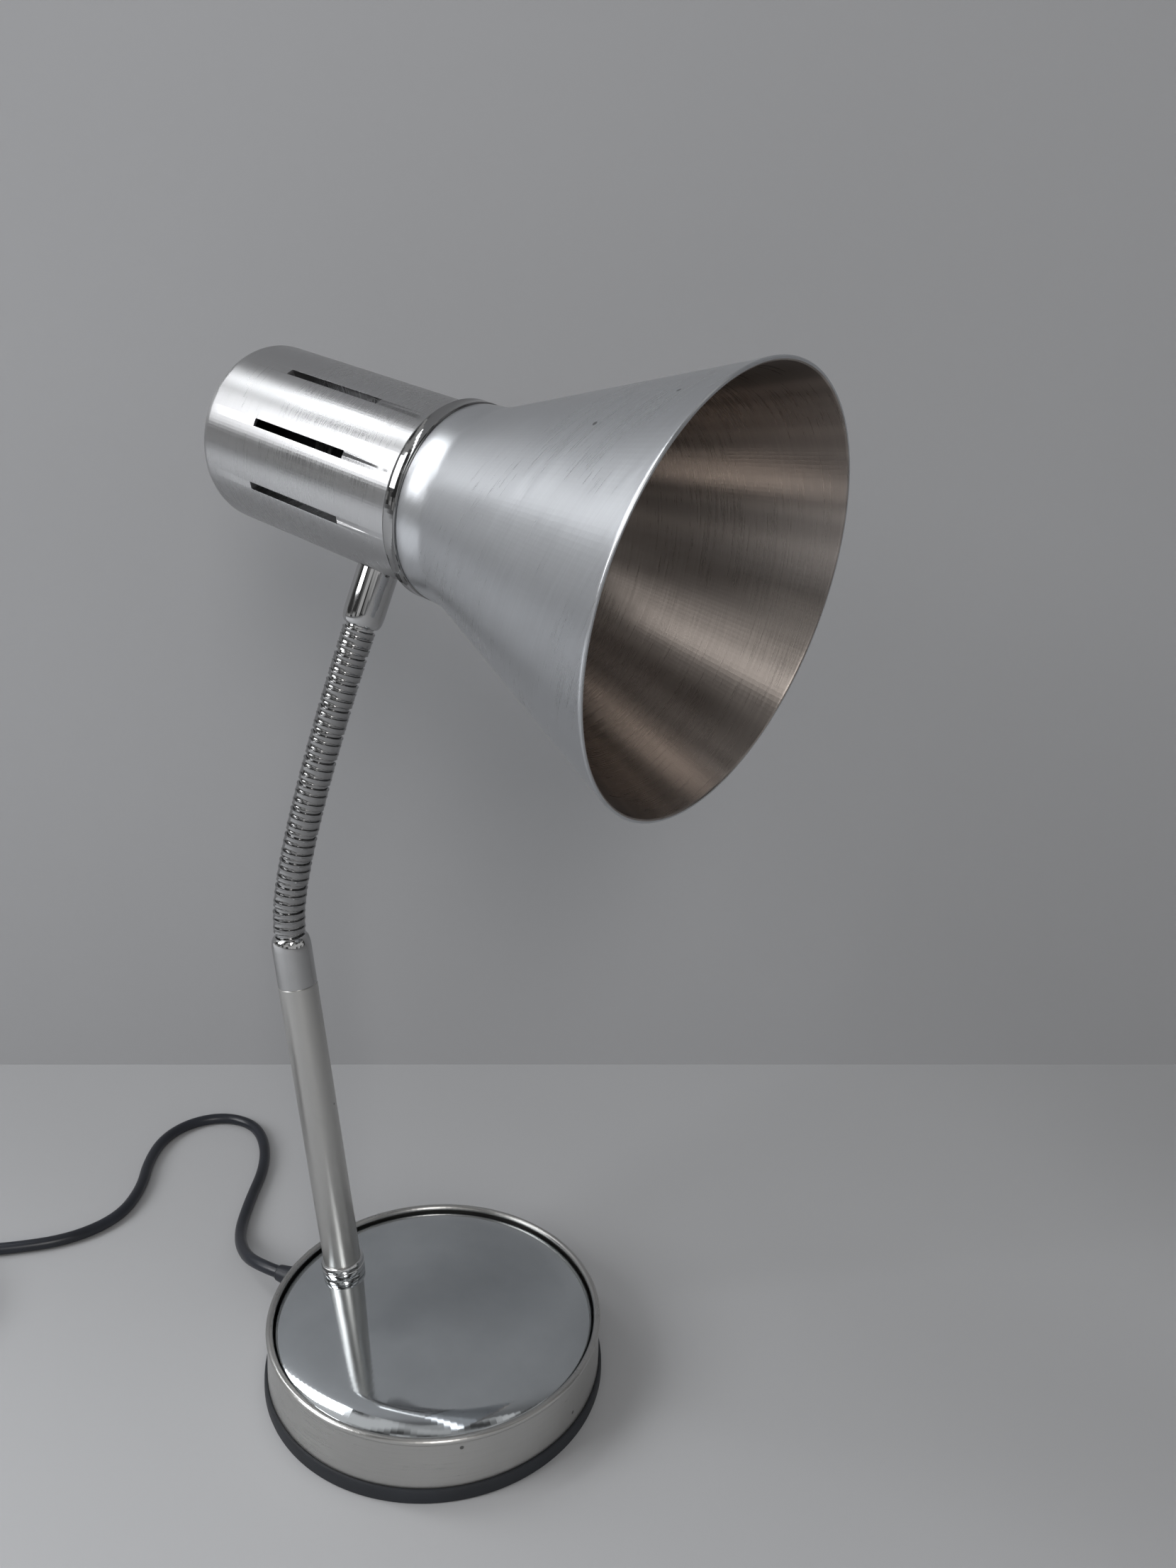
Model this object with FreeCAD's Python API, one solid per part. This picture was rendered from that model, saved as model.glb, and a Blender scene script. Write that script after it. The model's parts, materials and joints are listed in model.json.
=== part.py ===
import FreeCAD, Part
import math
import os

from FreeCAD import Vector

# Gooseneck desk lamp, in millimetres.
# Origin: centre of the underside of the base. +Z is up. The stem and the cord gland
# stand on the -X side of the base, and the shade points towards +X.
# Each piece is one solid in its own file, apart from the groups of like screws and pins.

# Clearances
RUNNING_GAP = 0.3
SLIP_GAP = 0.1

# Steel skirt with its rolled bead
SKIRT_R = 70.2
SKIRT_TAPER = 0.7
SKIRT_WALL = 0.8
BEAD_R = 1.45
BEAD_Z = 27.2

# Rubber foot: a tray whose rim seats the skirt and whose lip wraps round it
FOOT_PROUD = 1.4
FOOT_HEIGHT = 6.2
FOOT_SEAT_Z = 4.2
FOOT_FLOOR = 2.0
FOOT_RIM_WIDTH = 10.6
FOOT_LIP = 1.0
FOOT_EDGE = 1.0
FOOT_LIP_BEVEL = 0.4

# Polished dome
DOME_TOP_Z = 34.9
DOME_RADIUS = 320.0
DOME_WALL = 1.2
SHOULDER_INSET = 15.2
SHOULDER_SLOPE = 28.0
DOME_GAP = 0.5
DOME_EDGE_R = 1.5
DOME_SKIRT_Z = 14.0

# Base plate, ballast and their screws
PLATE_THICK = 1.0
BALLAST_RIM = 1.8
BALLAST_TOP_Z = 17.0
BALLAST_BEVEL = 2.0
BALLAST_POCKET_R = 12.5
BALLAST_POCKET_FLOOR = 3.0
SCREW_RING_INSET = 28.2
SCREW_COUNT = 3
SCREW_R = 2.0
SCREW_HEAD_R = 3.6
SCREW_HEAD_HEIGHT = 1.8
SCREW_LENGTH = 8.0
SCREW_SLOT_WIDTH = 1.0
SCREW_SLOT_DEPTH = 0.8

# Stem, its collar, threaded nipple, washer and nut
STEM_INSET = 23.5
STEM_R = 8.0
STEM_WALL = 1.2
STEM_LENGTH = 157.5
COLLAR_R = 9.1
COLLAR_HEIGHT = 5.2
COLLAR_GROOVE = 0.5
NIPPLE_R = 5.0
NIPPLE_BORE_R = 3.4
NIPPLE_LENGTH = 11.5
NIPPLE_PLUG_START = 0.4
NIPPLE_PLUG_LENGTH = 14.0
WASHER_R = 7.2
WASHER_THICK = 1.2
NUT_ACROSS = 14.0
NUT_THICK = 4.0

# Ferrules at the two ends of the neck
LOWER_FERRULE_LENGTH = 22.4
UPPER_FERRULE_LENGTH = 22.6
UPPER_FERRULE_R = 8.0
FERRULE_MOUTH_R = 6.3
FERRULE_SHOULDER = 5.0
FERRULE_CROWN = 0.25
FERRULE_STUD_LENGTH = 9.0

# Gooseneck: the centreline is one cubic curve, tangent to both ferrules
NECK_SHIFT_X = 21.84
NECK_SHIFT_Y = 21.13
NECK_RISE = 125.01
NECK_TOP_LEAN_X = 13.42
NECK_TOP_LEAN_Y = 13.44
NECK_HANDLE_LOW = 22.8
NECK_HANDLE_HIGH = 29.6
NECK_R = 6.52
NECK_BORE_R = 3.6
NECK_LINKS = 12
RIBS_PER_LINK = 3
GROOVE_DEPTH = 0.62
GROOVE_WIDTH = 1.24
JOINT_GAP = 1.6
RIB_CHAMFER = 0.3
BALL_R = 5.5
BALL_DEPTH = 2.6
SOCKET_DEPTH = 5.2

# Head: housing, trim ring and shade on one axis, square to the upper ferrule
HEAD_TURN = -8.73
CAN_R = 34.6
CAN_WALL = 1.0
CAN_REAR = 77.3
CAN_FRONT = 26.0
CAN_EDGE_R = 5.0
CAN_FLANGE = 1.4
SLOT_ANGLES = (47.0, 87.0, 127.0)
SLOT_WIDTH = 3.0
SLOT_REAR = 48.4
SLOT_LENGTH = 47.0
RING_LENGTH = 5.0
RING_LAP = 1.4
RING_BEVEL = 0.6
RING_FRONT_PROUD = 2.3
RING_REAR_PROUD = 2.4
SEAM = 0.4
SHADE_NECK_R = 36.5
SHADE_CREASE_R = 37.9
SHADE_NECK_LENGTH = 13.0
SHADE_MOUTH_R = 76.8
SHADE_LENGTH = 99.8
SHADE_WALL = 1.0
SHADE_NECK_BEVEL = 0.6
SHADE_WEB = 4.0
LIP_R = 1.1
LIP_BEVEL = 0.2

# Lampholder, its clamp ring and bracket, and the lamp
HOLDER_R = 20.0
HOLDER_REAR = 14.0
HOLDER_FRONT = 36.8
HOLDER_BORE_R = 14.0
HOLDER_WALL_REAR = 5.0
HOLDER_WIRE_R = 2.0
HOLDER_TAPER = 5.0
HOLDER_TAPER_LENGTH = 6.0
HOLDER_CLAMP_R = 24.0
HOLDER_CLAMP_LENGTH = 4.0
HOLDER_CLAMP_RIM = 1.2
HOLDER_CLAMP_CLEAR = 1.0
BRACKET_WIDTH = 12.0
BRACKET_THICK = 1.5
BRACKET_LEG = 10.0
BRACKET_REACH = 12.0
BRACKET_SCREW_R = 1.5
BRACKET_SCREW_SPACING = 16.0
BRACKET_HEAD = 1.6
CAP_R = 13.2
CAP_LENGTH = 24.0
CAP_SOCKET = 3.0
CAP_TIP_R = 5.0
CAP_TIP_LENGTH = 4.0
BULB_R = 22.5
BULB_NECK_R = 12.0
BULB_LENGTH = 66.0
BULB_NECK_PROUD = 1.5
BULB_SHOULDER = 25.0

# Push-button switch in the rear of the housing
SWITCH_R = 6.0
SWITCH_DEPTH = 18.0
SWITCH_NUT_R = 8.5
SWITCH_NUT_THICK = 2.2
SWITCH_NUT_BEVEL = 0.8
SWITCH_PROUD = 0.6
SWITCH_FLANGE = 2.5
SWITCH_FLOOR = 4.0
BUTTON_R = 4.0
BUTTON_PROUD = 5.0
BUTTON_BEVEL = 1.6
BUTTON_SHANK = 8.0

# Cord gland, cord, coil, tie and plug
GLAND_Z = 15.5
GLAND_R = 4.6
GLAND_SLACK = 0.35
GLAND_FLANGE_R = 6.4
GLAND_FLANGE = 2.6
GLAND_OUTSIDE = 12.4
GLAND_INSIDE = 9.0
GLAND_TIP_R = 3.5
GLAND_BEVEL = 0.8
GLAND_SHOULDER = 1.2
CORD_D = 5.5
CORD_SIDES = 6
COIL_CLIMB = 0.5
COIL_PITCH = 6.3
COIL_OUTER_R = 43.4
COIL_TURNS_IN = 3.375
COIL_LIFT = 3.4
COIL_EXIT = 30.0
TIE_THICK = 0.6
TIE_WIDTH = 5.0
TIE_ANGLE = -60.0
PLUG_LENGTH = 36.0
PLUG_WIDTH = 26.0
PLUG_HEIGHT = 14.0
PLUG_TAIL_R = 3.6
PLUG_TAIL_GROWTH = 1.6
PLUG_TAIL_LENGTH = 8.0
PIN_R = 2.0
PIN_LENGTH = 19.0
PIN_SPACING = 19.0

# Route of the visible cord, chosen by hand: it stays on the floor after the gland
CORD_ROUTE = [
    (-95.0, 0.0, 15.5),
    (-110.0, 9.0, 9.5),
    (-126.0, 25.0, 3.6),
    (-138.0, 48.0, 2.8),
    (-149.0, 74.0, 2.8),
    (-164.0, 93.0, 2.8),
    (-180.0, 103.0, 2.8),
    (-198.0, 101.0, 2.8),
    (-210.5, 88.0, 2.8),
    (-213.5, 70.0, 2.8),
    (-206.0, 50.0, 2.8),
    (-193.0, 31.0, 2.8),
    (-186.0, 9.0, 2.8),
    (-194.0, -14.0, 2.8),
    (-214.0, -32.0, 2.8),
    (-238.0, -49.0, 3.4),
]
COIL_ENTRY = Vector(-257.0, -64.0, COIL_LIFT)

X_AXIS = Vector(1, 0, 0)
Y_AXIS = Vector(0, 1, 0)
Z_AXIS = Vector(0, 0, 1)
ORIGIN = Vector(0, 0, 0)


def placement(origin, axis, up):
    """The frame at origin whose Z runs along axis and whose X leans towards up."""
    z = Vector(axis).normalize()
    x = up - z * up.dot(z)
    x.normalize()
    y = z.cross(x)
    matrix = FreeCAD.Matrix(
        x.x, y.x, z.x, origin.x, x.y, y.y, z.y, origin.y, x.z, y.z, z.z, origin.z, 0, 0, 0, 1
    )
    return FreeCAD.Placement(matrix)


def set_in(shape, frame):
    """The shape moved from the local frame into the lamp's frame."""
    moved = shape.copy()
    moved.transformShape(frame.toMatrix())
    return moved


def outline_face(outline):
    """A face in the XZ plane from (radius, height) points; four numbers are an arc's middle and end."""
    edges = []
    here = Vector(outline[0][0], 0, outline[0][1])
    for step in list(outline[1:]) + [outline[0]]:
        there = Vector(step[-2], 0, step[-1])
        if len(step) == 4:
            edges.append(Part.Arc(here, Vector(step[0], 0, step[1]), there).toShape())
        elif (there - here).Length > 1e-6:
            edges.append(Part.LineSegment(here, there).toShape())
        here = there
    return Part.Face(Part.Wire(edges))


def turned(outline):
    """A solid turned about local Z."""
    return outline_face(outline).revolve(ORIGIN, Z_AXIS, 360)


def cylinder(radius, low, high):
    """A plain round bar on local Z."""
    return Part.makeCylinder(radius, high - low, Vector(0, 0, low))


def tube(outer, inner, low, high):
    """A plain round tube on local Z."""
    return cylinder(outer, low, high).cut(cylinder(inner, low - 1, high + 1))


def ring_of(shape, count, first=0.0):
    """Copies of a solid turned about local Z."""
    copies = []
    for number in range(count):
        copy = shape.copy()
        copy.rotate(ORIGIN, Z_AXIS, first + 360.0 * number / count)
        copies.append(copy)
    return copies


def middle_of_arc(start, direction, end):
    """The middle point of the arc that leaves start along direction and reaches end."""
    chord = end - start
    angle = direction.getAngle(chord)
    if angle < 1e-6:
        return None
    bow = direction * (chord.Length / 2 / math.cos(angle)) - chord / 2
    bow.normalize()
    return start + chord / 2 + bow * (chord.Length / 2 * math.tan(angle / 2))


def biarc(start, out, end, arrive):
    """Two tangent arcs from start to end with the given directions at the ends."""
    chord = end - start
    both = out + arrive
    turn = 2 * (1 - out.dot(arrive))
    if turn < 1e-9:
        return [Part.LineSegment(start, end).toShape()]
    reach = (math.sqrt(chord.dot(both) ** 2 + turn * chord.dot(chord)) - chord.dot(both)) / turn
    joint = (start + end + (out - arrive) * reach) / 2
    edges = []
    middle = middle_of_arc(start, out, joint)
    edges.append(Part.Arc(start, middle, joint).toShape())
    middle = middle_of_arc(end, arrive * -1, joint)
    edges.append(Part.Arc(joint, middle, end).toShape())
    return edges


def swept_cord(edges, start, direction):
    """A flat-sided cord along edges that follow each other smoothly."""
    frame = placement(start, direction, Z_AXIS)
    corners = []
    for number in range(CORD_SIDES + 1):
        angle = 2 * math.pi * (number + 0.5) / CORD_SIDES
        corner = Vector(CORD_D / 2 * math.cos(angle), CORD_D / 2 * math.sin(angle), 0)
        corners.append(frame.multVec(corner))
    section = Part.makePolygon(corners)
    return Part.Wire(edges).makePipeShell([section], True, False)


# Places that several pieces share

SKIRT_TOP_R = SKIRT_R - SKIRT_TAPER
STEM_FOOT_R = SKIRT_R - STEM_INSET
STEM_LEAN = math.asin(STEM_FOOT_R / DOME_RADIUS)
STEM_AXIS = Vector(-math.sin(STEM_LEAN), 0, math.cos(STEM_LEAN))
STEM_FOOT = Vector(-STEM_FOOT_R, 0, DOME_TOP_Z - DOME_RADIUS * (1 - math.cos(STEM_LEAN)))
STEM_FRAME = placement(STEM_FOOT, STEM_AXIS, X_AXIS)
NECK_FOOT = STEM_FOOT + STEM_AXIS * STEM_LENGTH
NECK_TOP = NECK_FOOT + Vector(NECK_SHIFT_X, NECK_SHIFT_Y, NECK_RISE)

NECK_TOP_AXIS = Vector(
    math.tan(math.radians(NECK_TOP_LEAN_X)), math.tan(math.radians(NECK_TOP_LEAN_Y)), 1
).normalize()
HEAD_LEVEL = Vector(math.cos(math.radians(HEAD_TURN)), math.sin(math.radians(HEAD_TURN)), 0)
HEAD_AXIS = (HEAD_LEVEL - NECK_TOP_AXIS * HEAD_LEVEL.dot(NECK_TOP_AXIS)).normalize()
HEAD_CENTRE = NECK_TOP + NECK_TOP_AXIS * (UPPER_FERRULE_LENGTH + CAN_R)
HEAD_FRAME = placement(HEAD_CENTRE, HEAD_AXIS, NECK_TOP_AXIS)
FERRULE_FRAME = placement(NECK_TOP, NECK_TOP_AXIS, HEAD_AXIS)

PLATE_R = SKIRT_R - SKIRT_WALL - SLIP_GAP
PLATE_TOP_Z = FOOT_SEAT_Z + PLATE_THICK
DOME_R = SKIRT_TOP_R - BEAD_R * 0.5 - BEAD_R - DOME_GAP
SHOULDER_START_R = SKIRT_R - SHOULDER_INSET
SCREW_RING_R = SKIRT_R - SCREW_RING_INSET
SEAM_Z = CAN_FRONT + RING_LENGTH
CREASE_Z = SEAM_Z + SHADE_NECK_LENGTH
MOUTH_Z = CREASE_Z + SHADE_LENGTH
COIL_TURNS = 2 * COIL_TURNS_IN + COIL_CLIMB
CAP_REAR_Z = -HOLDER_REAR + HOLDER_WALL_REAR


def neck_curve(share):
    """A point of the neck's centreline, share being 0 at the stem and 1 at the head."""
    low_handle = NECK_FOOT + STEM_AXIS * NECK_HANDLE_LOW
    high_handle = NECK_TOP - NECK_TOP_AXIS * NECK_HANDLE_HIGH
    rest = 1 - share
    return (
        NECK_FOOT * rest**3
        + low_handle * (3 * rest**2 * share)
        + high_handle * (3 * rest * share**2)
        + NECK_TOP * share**3
    )


def neck_joints():
    """The pivots between the links, evenly spaced along the curve, both ends included."""
    steps = 600
    points = [neck_curve(number / steps) for number in range(steps + 1)]
    lengths = [0.0]
    for before, after in zip(points, points[1:]):
        lengths.append(lengths[-1] + (after - before).Length)
    pivots = []
    for number in range(NECK_LINKS + 1):
        wanted = lengths[-1] * number / NECK_LINKS
        nearest = min(range(steps + 1), key=lambda at: abs(lengths[at] - wanted))
        pivots.append(points[nearest])
    return pivots


def ball_r(radius, height):
    """The radius, at this height from the pivot, of a ball about the pivot."""
    return math.sqrt(radius**2 - height**2)


def spigot():
    """The outline of the ball below a link, from its bore to its root, with the pivot at zero."""
    root = JOINT_GAP / 2
    middle = (root - BALL_DEPTH) / 2
    return [
        (NECK_BORE_R, -BALL_DEPTH),
        (ball_r(BALL_R, BALL_DEPTH), -BALL_DEPTH),
        (ball_r(BALL_R, middle), middle, ball_r(BALL_R, root), root),
    ]


def socket(pivot):
    """The outline of the socket in the top of a link, from its mouth down to the bore."""
    seat_r = BALL_R + RUNNING_GAP
    mouth = -JOINT_GAP / 2
    floor = -BALL_DEPTH - RUNNING_GAP
    middle = (mouth + floor) / 2
    return [
        (ball_r(seat_r, mouth), pivot + mouth),
        (ball_r(seat_r, middle), pivot + middle, ball_r(seat_r, floor), pivot + floor),
        (NECK_BORE_R, pivot - SOCKET_DEPTH),
    ]


def neck_link(length):
    """One rigid length of the gooseneck: a ball, its ribs and a socket."""
    low = JOINT_GAP / 2
    high = length - JOINT_GAP / 2
    groove_r = NECK_R - GROOVE_DEPTH
    outline = spigot()
    outline.append((NECK_R - RIB_CHAMFER, low))
    outline.append((NECK_R, low + RIB_CHAMFER))
    for number in range(1, RIBS_PER_LINK):
        middle = length * number / RIBS_PER_LINK
        outline.append((NECK_R, middle - GROOVE_WIDTH / 2))
        outline.append((groove_r, middle))
        outline.append((NECK_R, middle + GROOVE_WIDTH / 2))
    outline.append((NECK_R, high - RIB_CHAMFER))
    outline.append((NECK_R - RIB_CHAMFER, high))
    outline.extend(socket(length))
    return turned(outline)


def rubber_foot():
    """A moulded tray: a flat floor, a rim under the plate and skirt, and a lip round the skirt."""
    foot_r = SKIRT_R + FOOT_PROUD
    lip_r = SKIRT_R + SLIP_GAP
    hollow_r = SKIRT_R - FOOT_RIM_WIDTH
    return turned(
        [
            (0, 0),
            (foot_r - FOOT_EDGE, 0),
            (foot_r, FOOT_EDGE),
            (lip_r + FOOT_LIP - FOOT_LIP_BEVEL, FOOT_HEIGHT),
            (lip_r, FOOT_HEIGHT),
            (lip_r, FOOT_SEAT_Z),
            (hollow_r, FOOT_SEAT_Z),
            (hollow_r, FOOT_FLOOR),
            (0, FOOT_FLOOR),
        ]
    )


def base_skirt():
    """A tapered steel wall whose top edge is rolled outwards into a round bead."""
    bead_centre_r = SKIRT_TOP_R - BEAD_R * 0.5
    wall_top_z = BEAD_Z - BEAD_R * 0.6
    wall = turned(
        [
            (SKIRT_R - SKIRT_WALL, FOOT_SEAT_Z),
            (SKIRT_R, FOOT_SEAT_Z),
            (SKIRT_TOP_R, wall_top_z),
            (SKIRT_TOP_R - SKIRT_WALL, wall_top_z),
        ]
    )
    bead = Part.makeTorus(bead_centre_r, BEAD_R, Vector(0, 0, BEAD_Z))
    start = Vector(-SKIRT_R - GLAND_FLANGE, 0, GLAND_Z)
    gland_hole = Part.makeCylinder(GLAND_R + SLIP_GAP, GLAND_INSIDE + GLAND_FLANGE, start, X_AXIS)
    return wall.fuse(bead).cut(gland_hole)


def dome_profile(offset):
    """The dome's outline from its centre to its edge, moved inwards by offset."""
    slope_a = math.asin(SHOULDER_START_R / DOME_RADIUS)
    slope_b = math.radians(SHOULDER_SLOPE)
    centre_z = DOME_TOP_Z - DOME_RADIUS
    radius = DOME_RADIUS - offset

    def on_sphere(slope):
        return (radius * math.sin(slope), centre_z + radius * math.cos(slope))

    edge_start_r = DOME_R - DOME_EDGE_R * (1 - math.sin(slope_b))
    bend = (edge_start_r - SHOULDER_START_R) / (math.sin(slope_b) - math.sin(slope_a))
    bend_r = SHOULDER_START_R - bend * math.sin(slope_a)
    bend_z = centre_z + DOME_RADIUS * math.cos(slope_a) - bend * math.cos(slope_a)

    def on_bend(slope):
        return (bend_r + (bend - offset) * math.sin(slope), bend_z + (bend - offset) * math.cos(slope))

    edge_r = DOME_R - DOME_EDGE_R
    edge_z = bend_z + (bend - DOME_EDGE_R) * math.cos(slope_b)
    corner = max(DOME_EDGE_R - offset, 0.2)

    def on_edge(slope):
        return (edge_r + corner * math.sin(slope), edge_z + corner * math.cos(slope))

    flat = on_sphere(0.0)
    start = on_sphere(slope_a)
    bend_mid = on_bend((slope_a + slope_b) / 2)
    bend_end = on_bend(slope_b)
    edge_mid = on_edge((slope_b + math.pi / 2) / 2)
    edge_end = on_edge(math.pi / 2)
    return flat, on_sphere(slope_a / 2), start, bend_mid, bend_end, edge_mid, edge_end


def base_dome():
    flat, rise, start, bend_mid, bend_end, edge_mid, edge_end = dome_profile(0.0)
    inner = dome_profile(DOME_WALL)
    shell = turned(
        [
            inner[0],
            flat,
            rise + start,
            bend_mid + bend_end,
            edge_mid + edge_end,
            (edge_end[0], DOME_SKIRT_Z),
            (edge_end[0] - DOME_WALL, DOME_SKIRT_Z),
            (edge_end[0] - DOME_WALL, inner[6][1]),
            inner[4],
            inner[3] + inner[2],
            inner[1] + inner[0],
        ]
    )
    hole = set_in(cylinder(NIPPLE_R + SLIP_GAP, -NIPPLE_LENGTH, NIPPLE_LENGTH), STEM_FRAME)
    return shell.cut(hole).cut(cord_way())


def cord_way():
    """The space behind the gland, between the outer wall and the pocket under the stem."""
    half = GLAND_FLANGE_R
    length = SKIRT_R - STEM_FOOT_R
    return Part.makeBox(length, 2 * half, 2 * half, Vector(-SKIRT_R, -half, GLAND_Z - half))


def ballast():
    """The cast disc that keeps the lamp standing, with a pocket under the stem and a cord way."""
    rim_r = DOME_R - BALLAST_RIM
    disc = turned(
        [
            (0, PLATE_TOP_Z),
            (DOME_R, PLATE_TOP_Z),
            (DOME_R, DOME_SKIRT_Z),
            (rim_r, DOME_SKIRT_Z),
            (rim_r, BALLAST_TOP_Z - BALLAST_BEVEL),
            (rim_r - BALLAST_BEVEL, BALLAST_TOP_Z),
            (0, BALLAST_TOP_Z),
        ]
    )
    pocket = cylinder(BALLAST_POCKET_R, PLATE_TOP_Z + BALLAST_POCKET_FLOOR, BALLAST_TOP_Z + 1)
    pocket.translate(Vector(-STEM_FOOT_R, 0, 0))
    body = disc.cut(pocket).cut(cord_way())
    for screw in base_screws_at(SCREW_R):
        body = body.cut(screw)
    return body


def base_screws_at(radius):
    """The screw shanks, as cutters or as the screws' own threads."""
    shank = cylinder(radius, FOOT_SEAT_Z, PLATE_TOP_Z + SCREW_LENGTH)
    shank.translate(Vector(SCREW_RING_R, 0, 0))
    return ring_of(shank, SCREW_COUNT)


def base_plate():
    plate = cylinder(PLATE_R, FOOT_SEAT_Z, PLATE_TOP_Z)
    for screw in base_screws_at(SCREW_R):
        plate = plate.cut(screw)
    return plate


def base_screws():
    head = cylinder(SCREW_HEAD_R, FOOT_SEAT_Z - SCREW_HEAD_HEIGHT, FOOT_SEAT_Z)
    corner = Vector(-SCREW_HEAD_R, -SCREW_SLOT_WIDTH / 2, FOOT_SEAT_Z - SCREW_HEAD_HEIGHT)
    slot = Part.makeBox(2 * SCREW_HEAD_R, SCREW_SLOT_WIDTH, SCREW_SLOT_DEPTH, corner)
    head = head.cut(slot)
    head.translate(Vector(SCREW_RING_R, 0, 0))
    heads = ring_of(head, SCREW_COUNT)
    return Part.makeCompound([a.fuse(b) for a, b in zip(heads, base_screws_at(SCREW_R))])


def dome_sink(radius):
    """How far the dome falls away at this distance from the stem's axis."""
    return radius**2 / (2 * DOME_RADIUS)


def stem_tube():
    sink = dome_sink(STEM_R - STEM_WALL)
    length = STEM_LENGTH - LOWER_FERRULE_LENGTH
    return set_in(tube(STEM_R, STEM_R - STEM_WALL, -sink, length), STEM_FRAME)


def stem_collar():
    sink = dome_sink(STEM_R)
    half = COLLAR_HEIGHT / 2
    bevel = (COLLAR_R - STEM_R) * 0.45
    outline = [
        (STEM_R, -sink),
        (COLLAR_R, -sink),
        (COLLAR_R, half - COLLAR_GROOVE / 2),
        (COLLAR_R - COLLAR_GROOVE, half),
        (COLLAR_R, half + COLLAR_GROOVE / 2),
        (COLLAR_R, COLLAR_HEIGHT - bevel),
        (COLLAR_R - bevel, COLLAR_HEIGHT),
        (STEM_R, COLLAR_HEIGHT),
    ]
    return set_in(turned(outline), STEM_FRAME)


def stem_nipple():
    """The threaded tube that pulls the stem down on the dome, with its plug inside the stem."""
    plug_r = STEM_R - STEM_WALL
    outline = [
        (NIPPLE_BORE_R, -NIPPLE_LENGTH),
        (NIPPLE_R, -NIPPLE_LENGTH),
        (NIPPLE_R, NIPPLE_PLUG_START),
        (plug_r, NIPPLE_PLUG_START),
        (plug_r, NIPPLE_PLUG_LENGTH),
        (NIPPLE_BORE_R, NIPPLE_PLUG_LENGTH),
    ]
    return set_in(turned(outline), STEM_FRAME)


def under_dome():
    """The height, on the stem's axis, of the face that the washer bears on."""
    return -DOME_WALL - WASHER_R**2 / (2 * (DOME_RADIUS - DOME_WALL))


def stem_washer():
    top = under_dome()
    return set_in(tube(WASHER_R, NIPPLE_R + SLIP_GAP, top - WASHER_THICK, top), STEM_FRAME)


def hex_nut(across, hole_r, low, high):
    """A plain six-sided nut on local Z."""
    corners = []
    for number in range(7):
        angle = math.radians(60 * number)
        reach = across / math.sqrt(3)
        corners.append(Vector(reach * math.cos(angle), reach * math.sin(angle), low))
    body = Part.Face(Part.makePolygon(corners)).extrude(Vector(0, 0, high - low))
    return body.cut(cylinder(hole_r, low - 1, high + 1))


def stem_nut():
    top = under_dome() - WASHER_THICK
    return set_in(hex_nut(NUT_ACROSS, NIPPLE_R, top - NUT_THICK, top), STEM_FRAME)


def lower_ferrule():
    """The chromed sleeve that carries the neck: a spigot in the stem, a rounded top and a socket."""
    low = -LOWER_FERRULE_LENGTH
    top = -JOINT_GAP / 2
    shoulder = top - FERRULE_SHOULDER
    outline = [
        (NECK_BORE_R, low - FERRULE_STUD_LENGTH),
        (STEM_R - STEM_WALL, low - FERRULE_STUD_LENGTH),
        (STEM_R - STEM_WALL, low),
        (STEM_R, low),
        (STEM_R, shoulder),
        (STEM_R - FERRULE_CROWN, (shoulder + top) / 2, FERRULE_MOUTH_R, top),
    ]
    outline.extend(socket(0.0))
    return set_in(turned(outline), placement(NECK_FOOT, STEM_AXIS, X_AXIS))


def upper_ferrule():
    """The chromed sleeve between neck and housing, saddled to the housing, with a threaded stud."""
    bottom = JOINT_GAP / 2
    shoulder = bottom + FERRULE_SHOULDER
    top = UPPER_FERRULE_LENGTH + CAN_R - math.sqrt(CAN_R**2 - UPPER_FERRULE_R**2)
    stud_top = UPPER_FERRULE_LENGTH + CAN_WALL + FERRULE_STUD_LENGTH
    outline = spigot()
    outline.extend(
        [
            (FERRULE_MOUTH_R, bottom),
            (UPPER_FERRULE_R - FERRULE_CROWN, (shoulder + bottom) / 2, UPPER_FERRULE_R, shoulder),
            (UPPER_FERRULE_R, top),
            (NECK_BORE_R, top),
        ]
    )
    body = set_in(turned(outline), FERRULE_FRAME)
    saddle = set_in(cylinder(CAN_R, -CAN_REAR, CAN_FRONT), HEAD_FRAME)
    stud = set_in(tube(NIPPLE_R, NECK_BORE_R, UPPER_FERRULE_LENGTH / 2, stud_top), FERRULE_FRAME)
    return body.cut(saddle).fuse(stud)


def ferrule_nut():
    low = UPPER_FERRULE_LENGTH + CAN_R - bracket_wall_x() + BRACKET_THICK
    return set_in(hex_nut(NUT_ACROSS, NIPPLE_R, low, low + NUT_THICK), FERRULE_FRAME)


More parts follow.
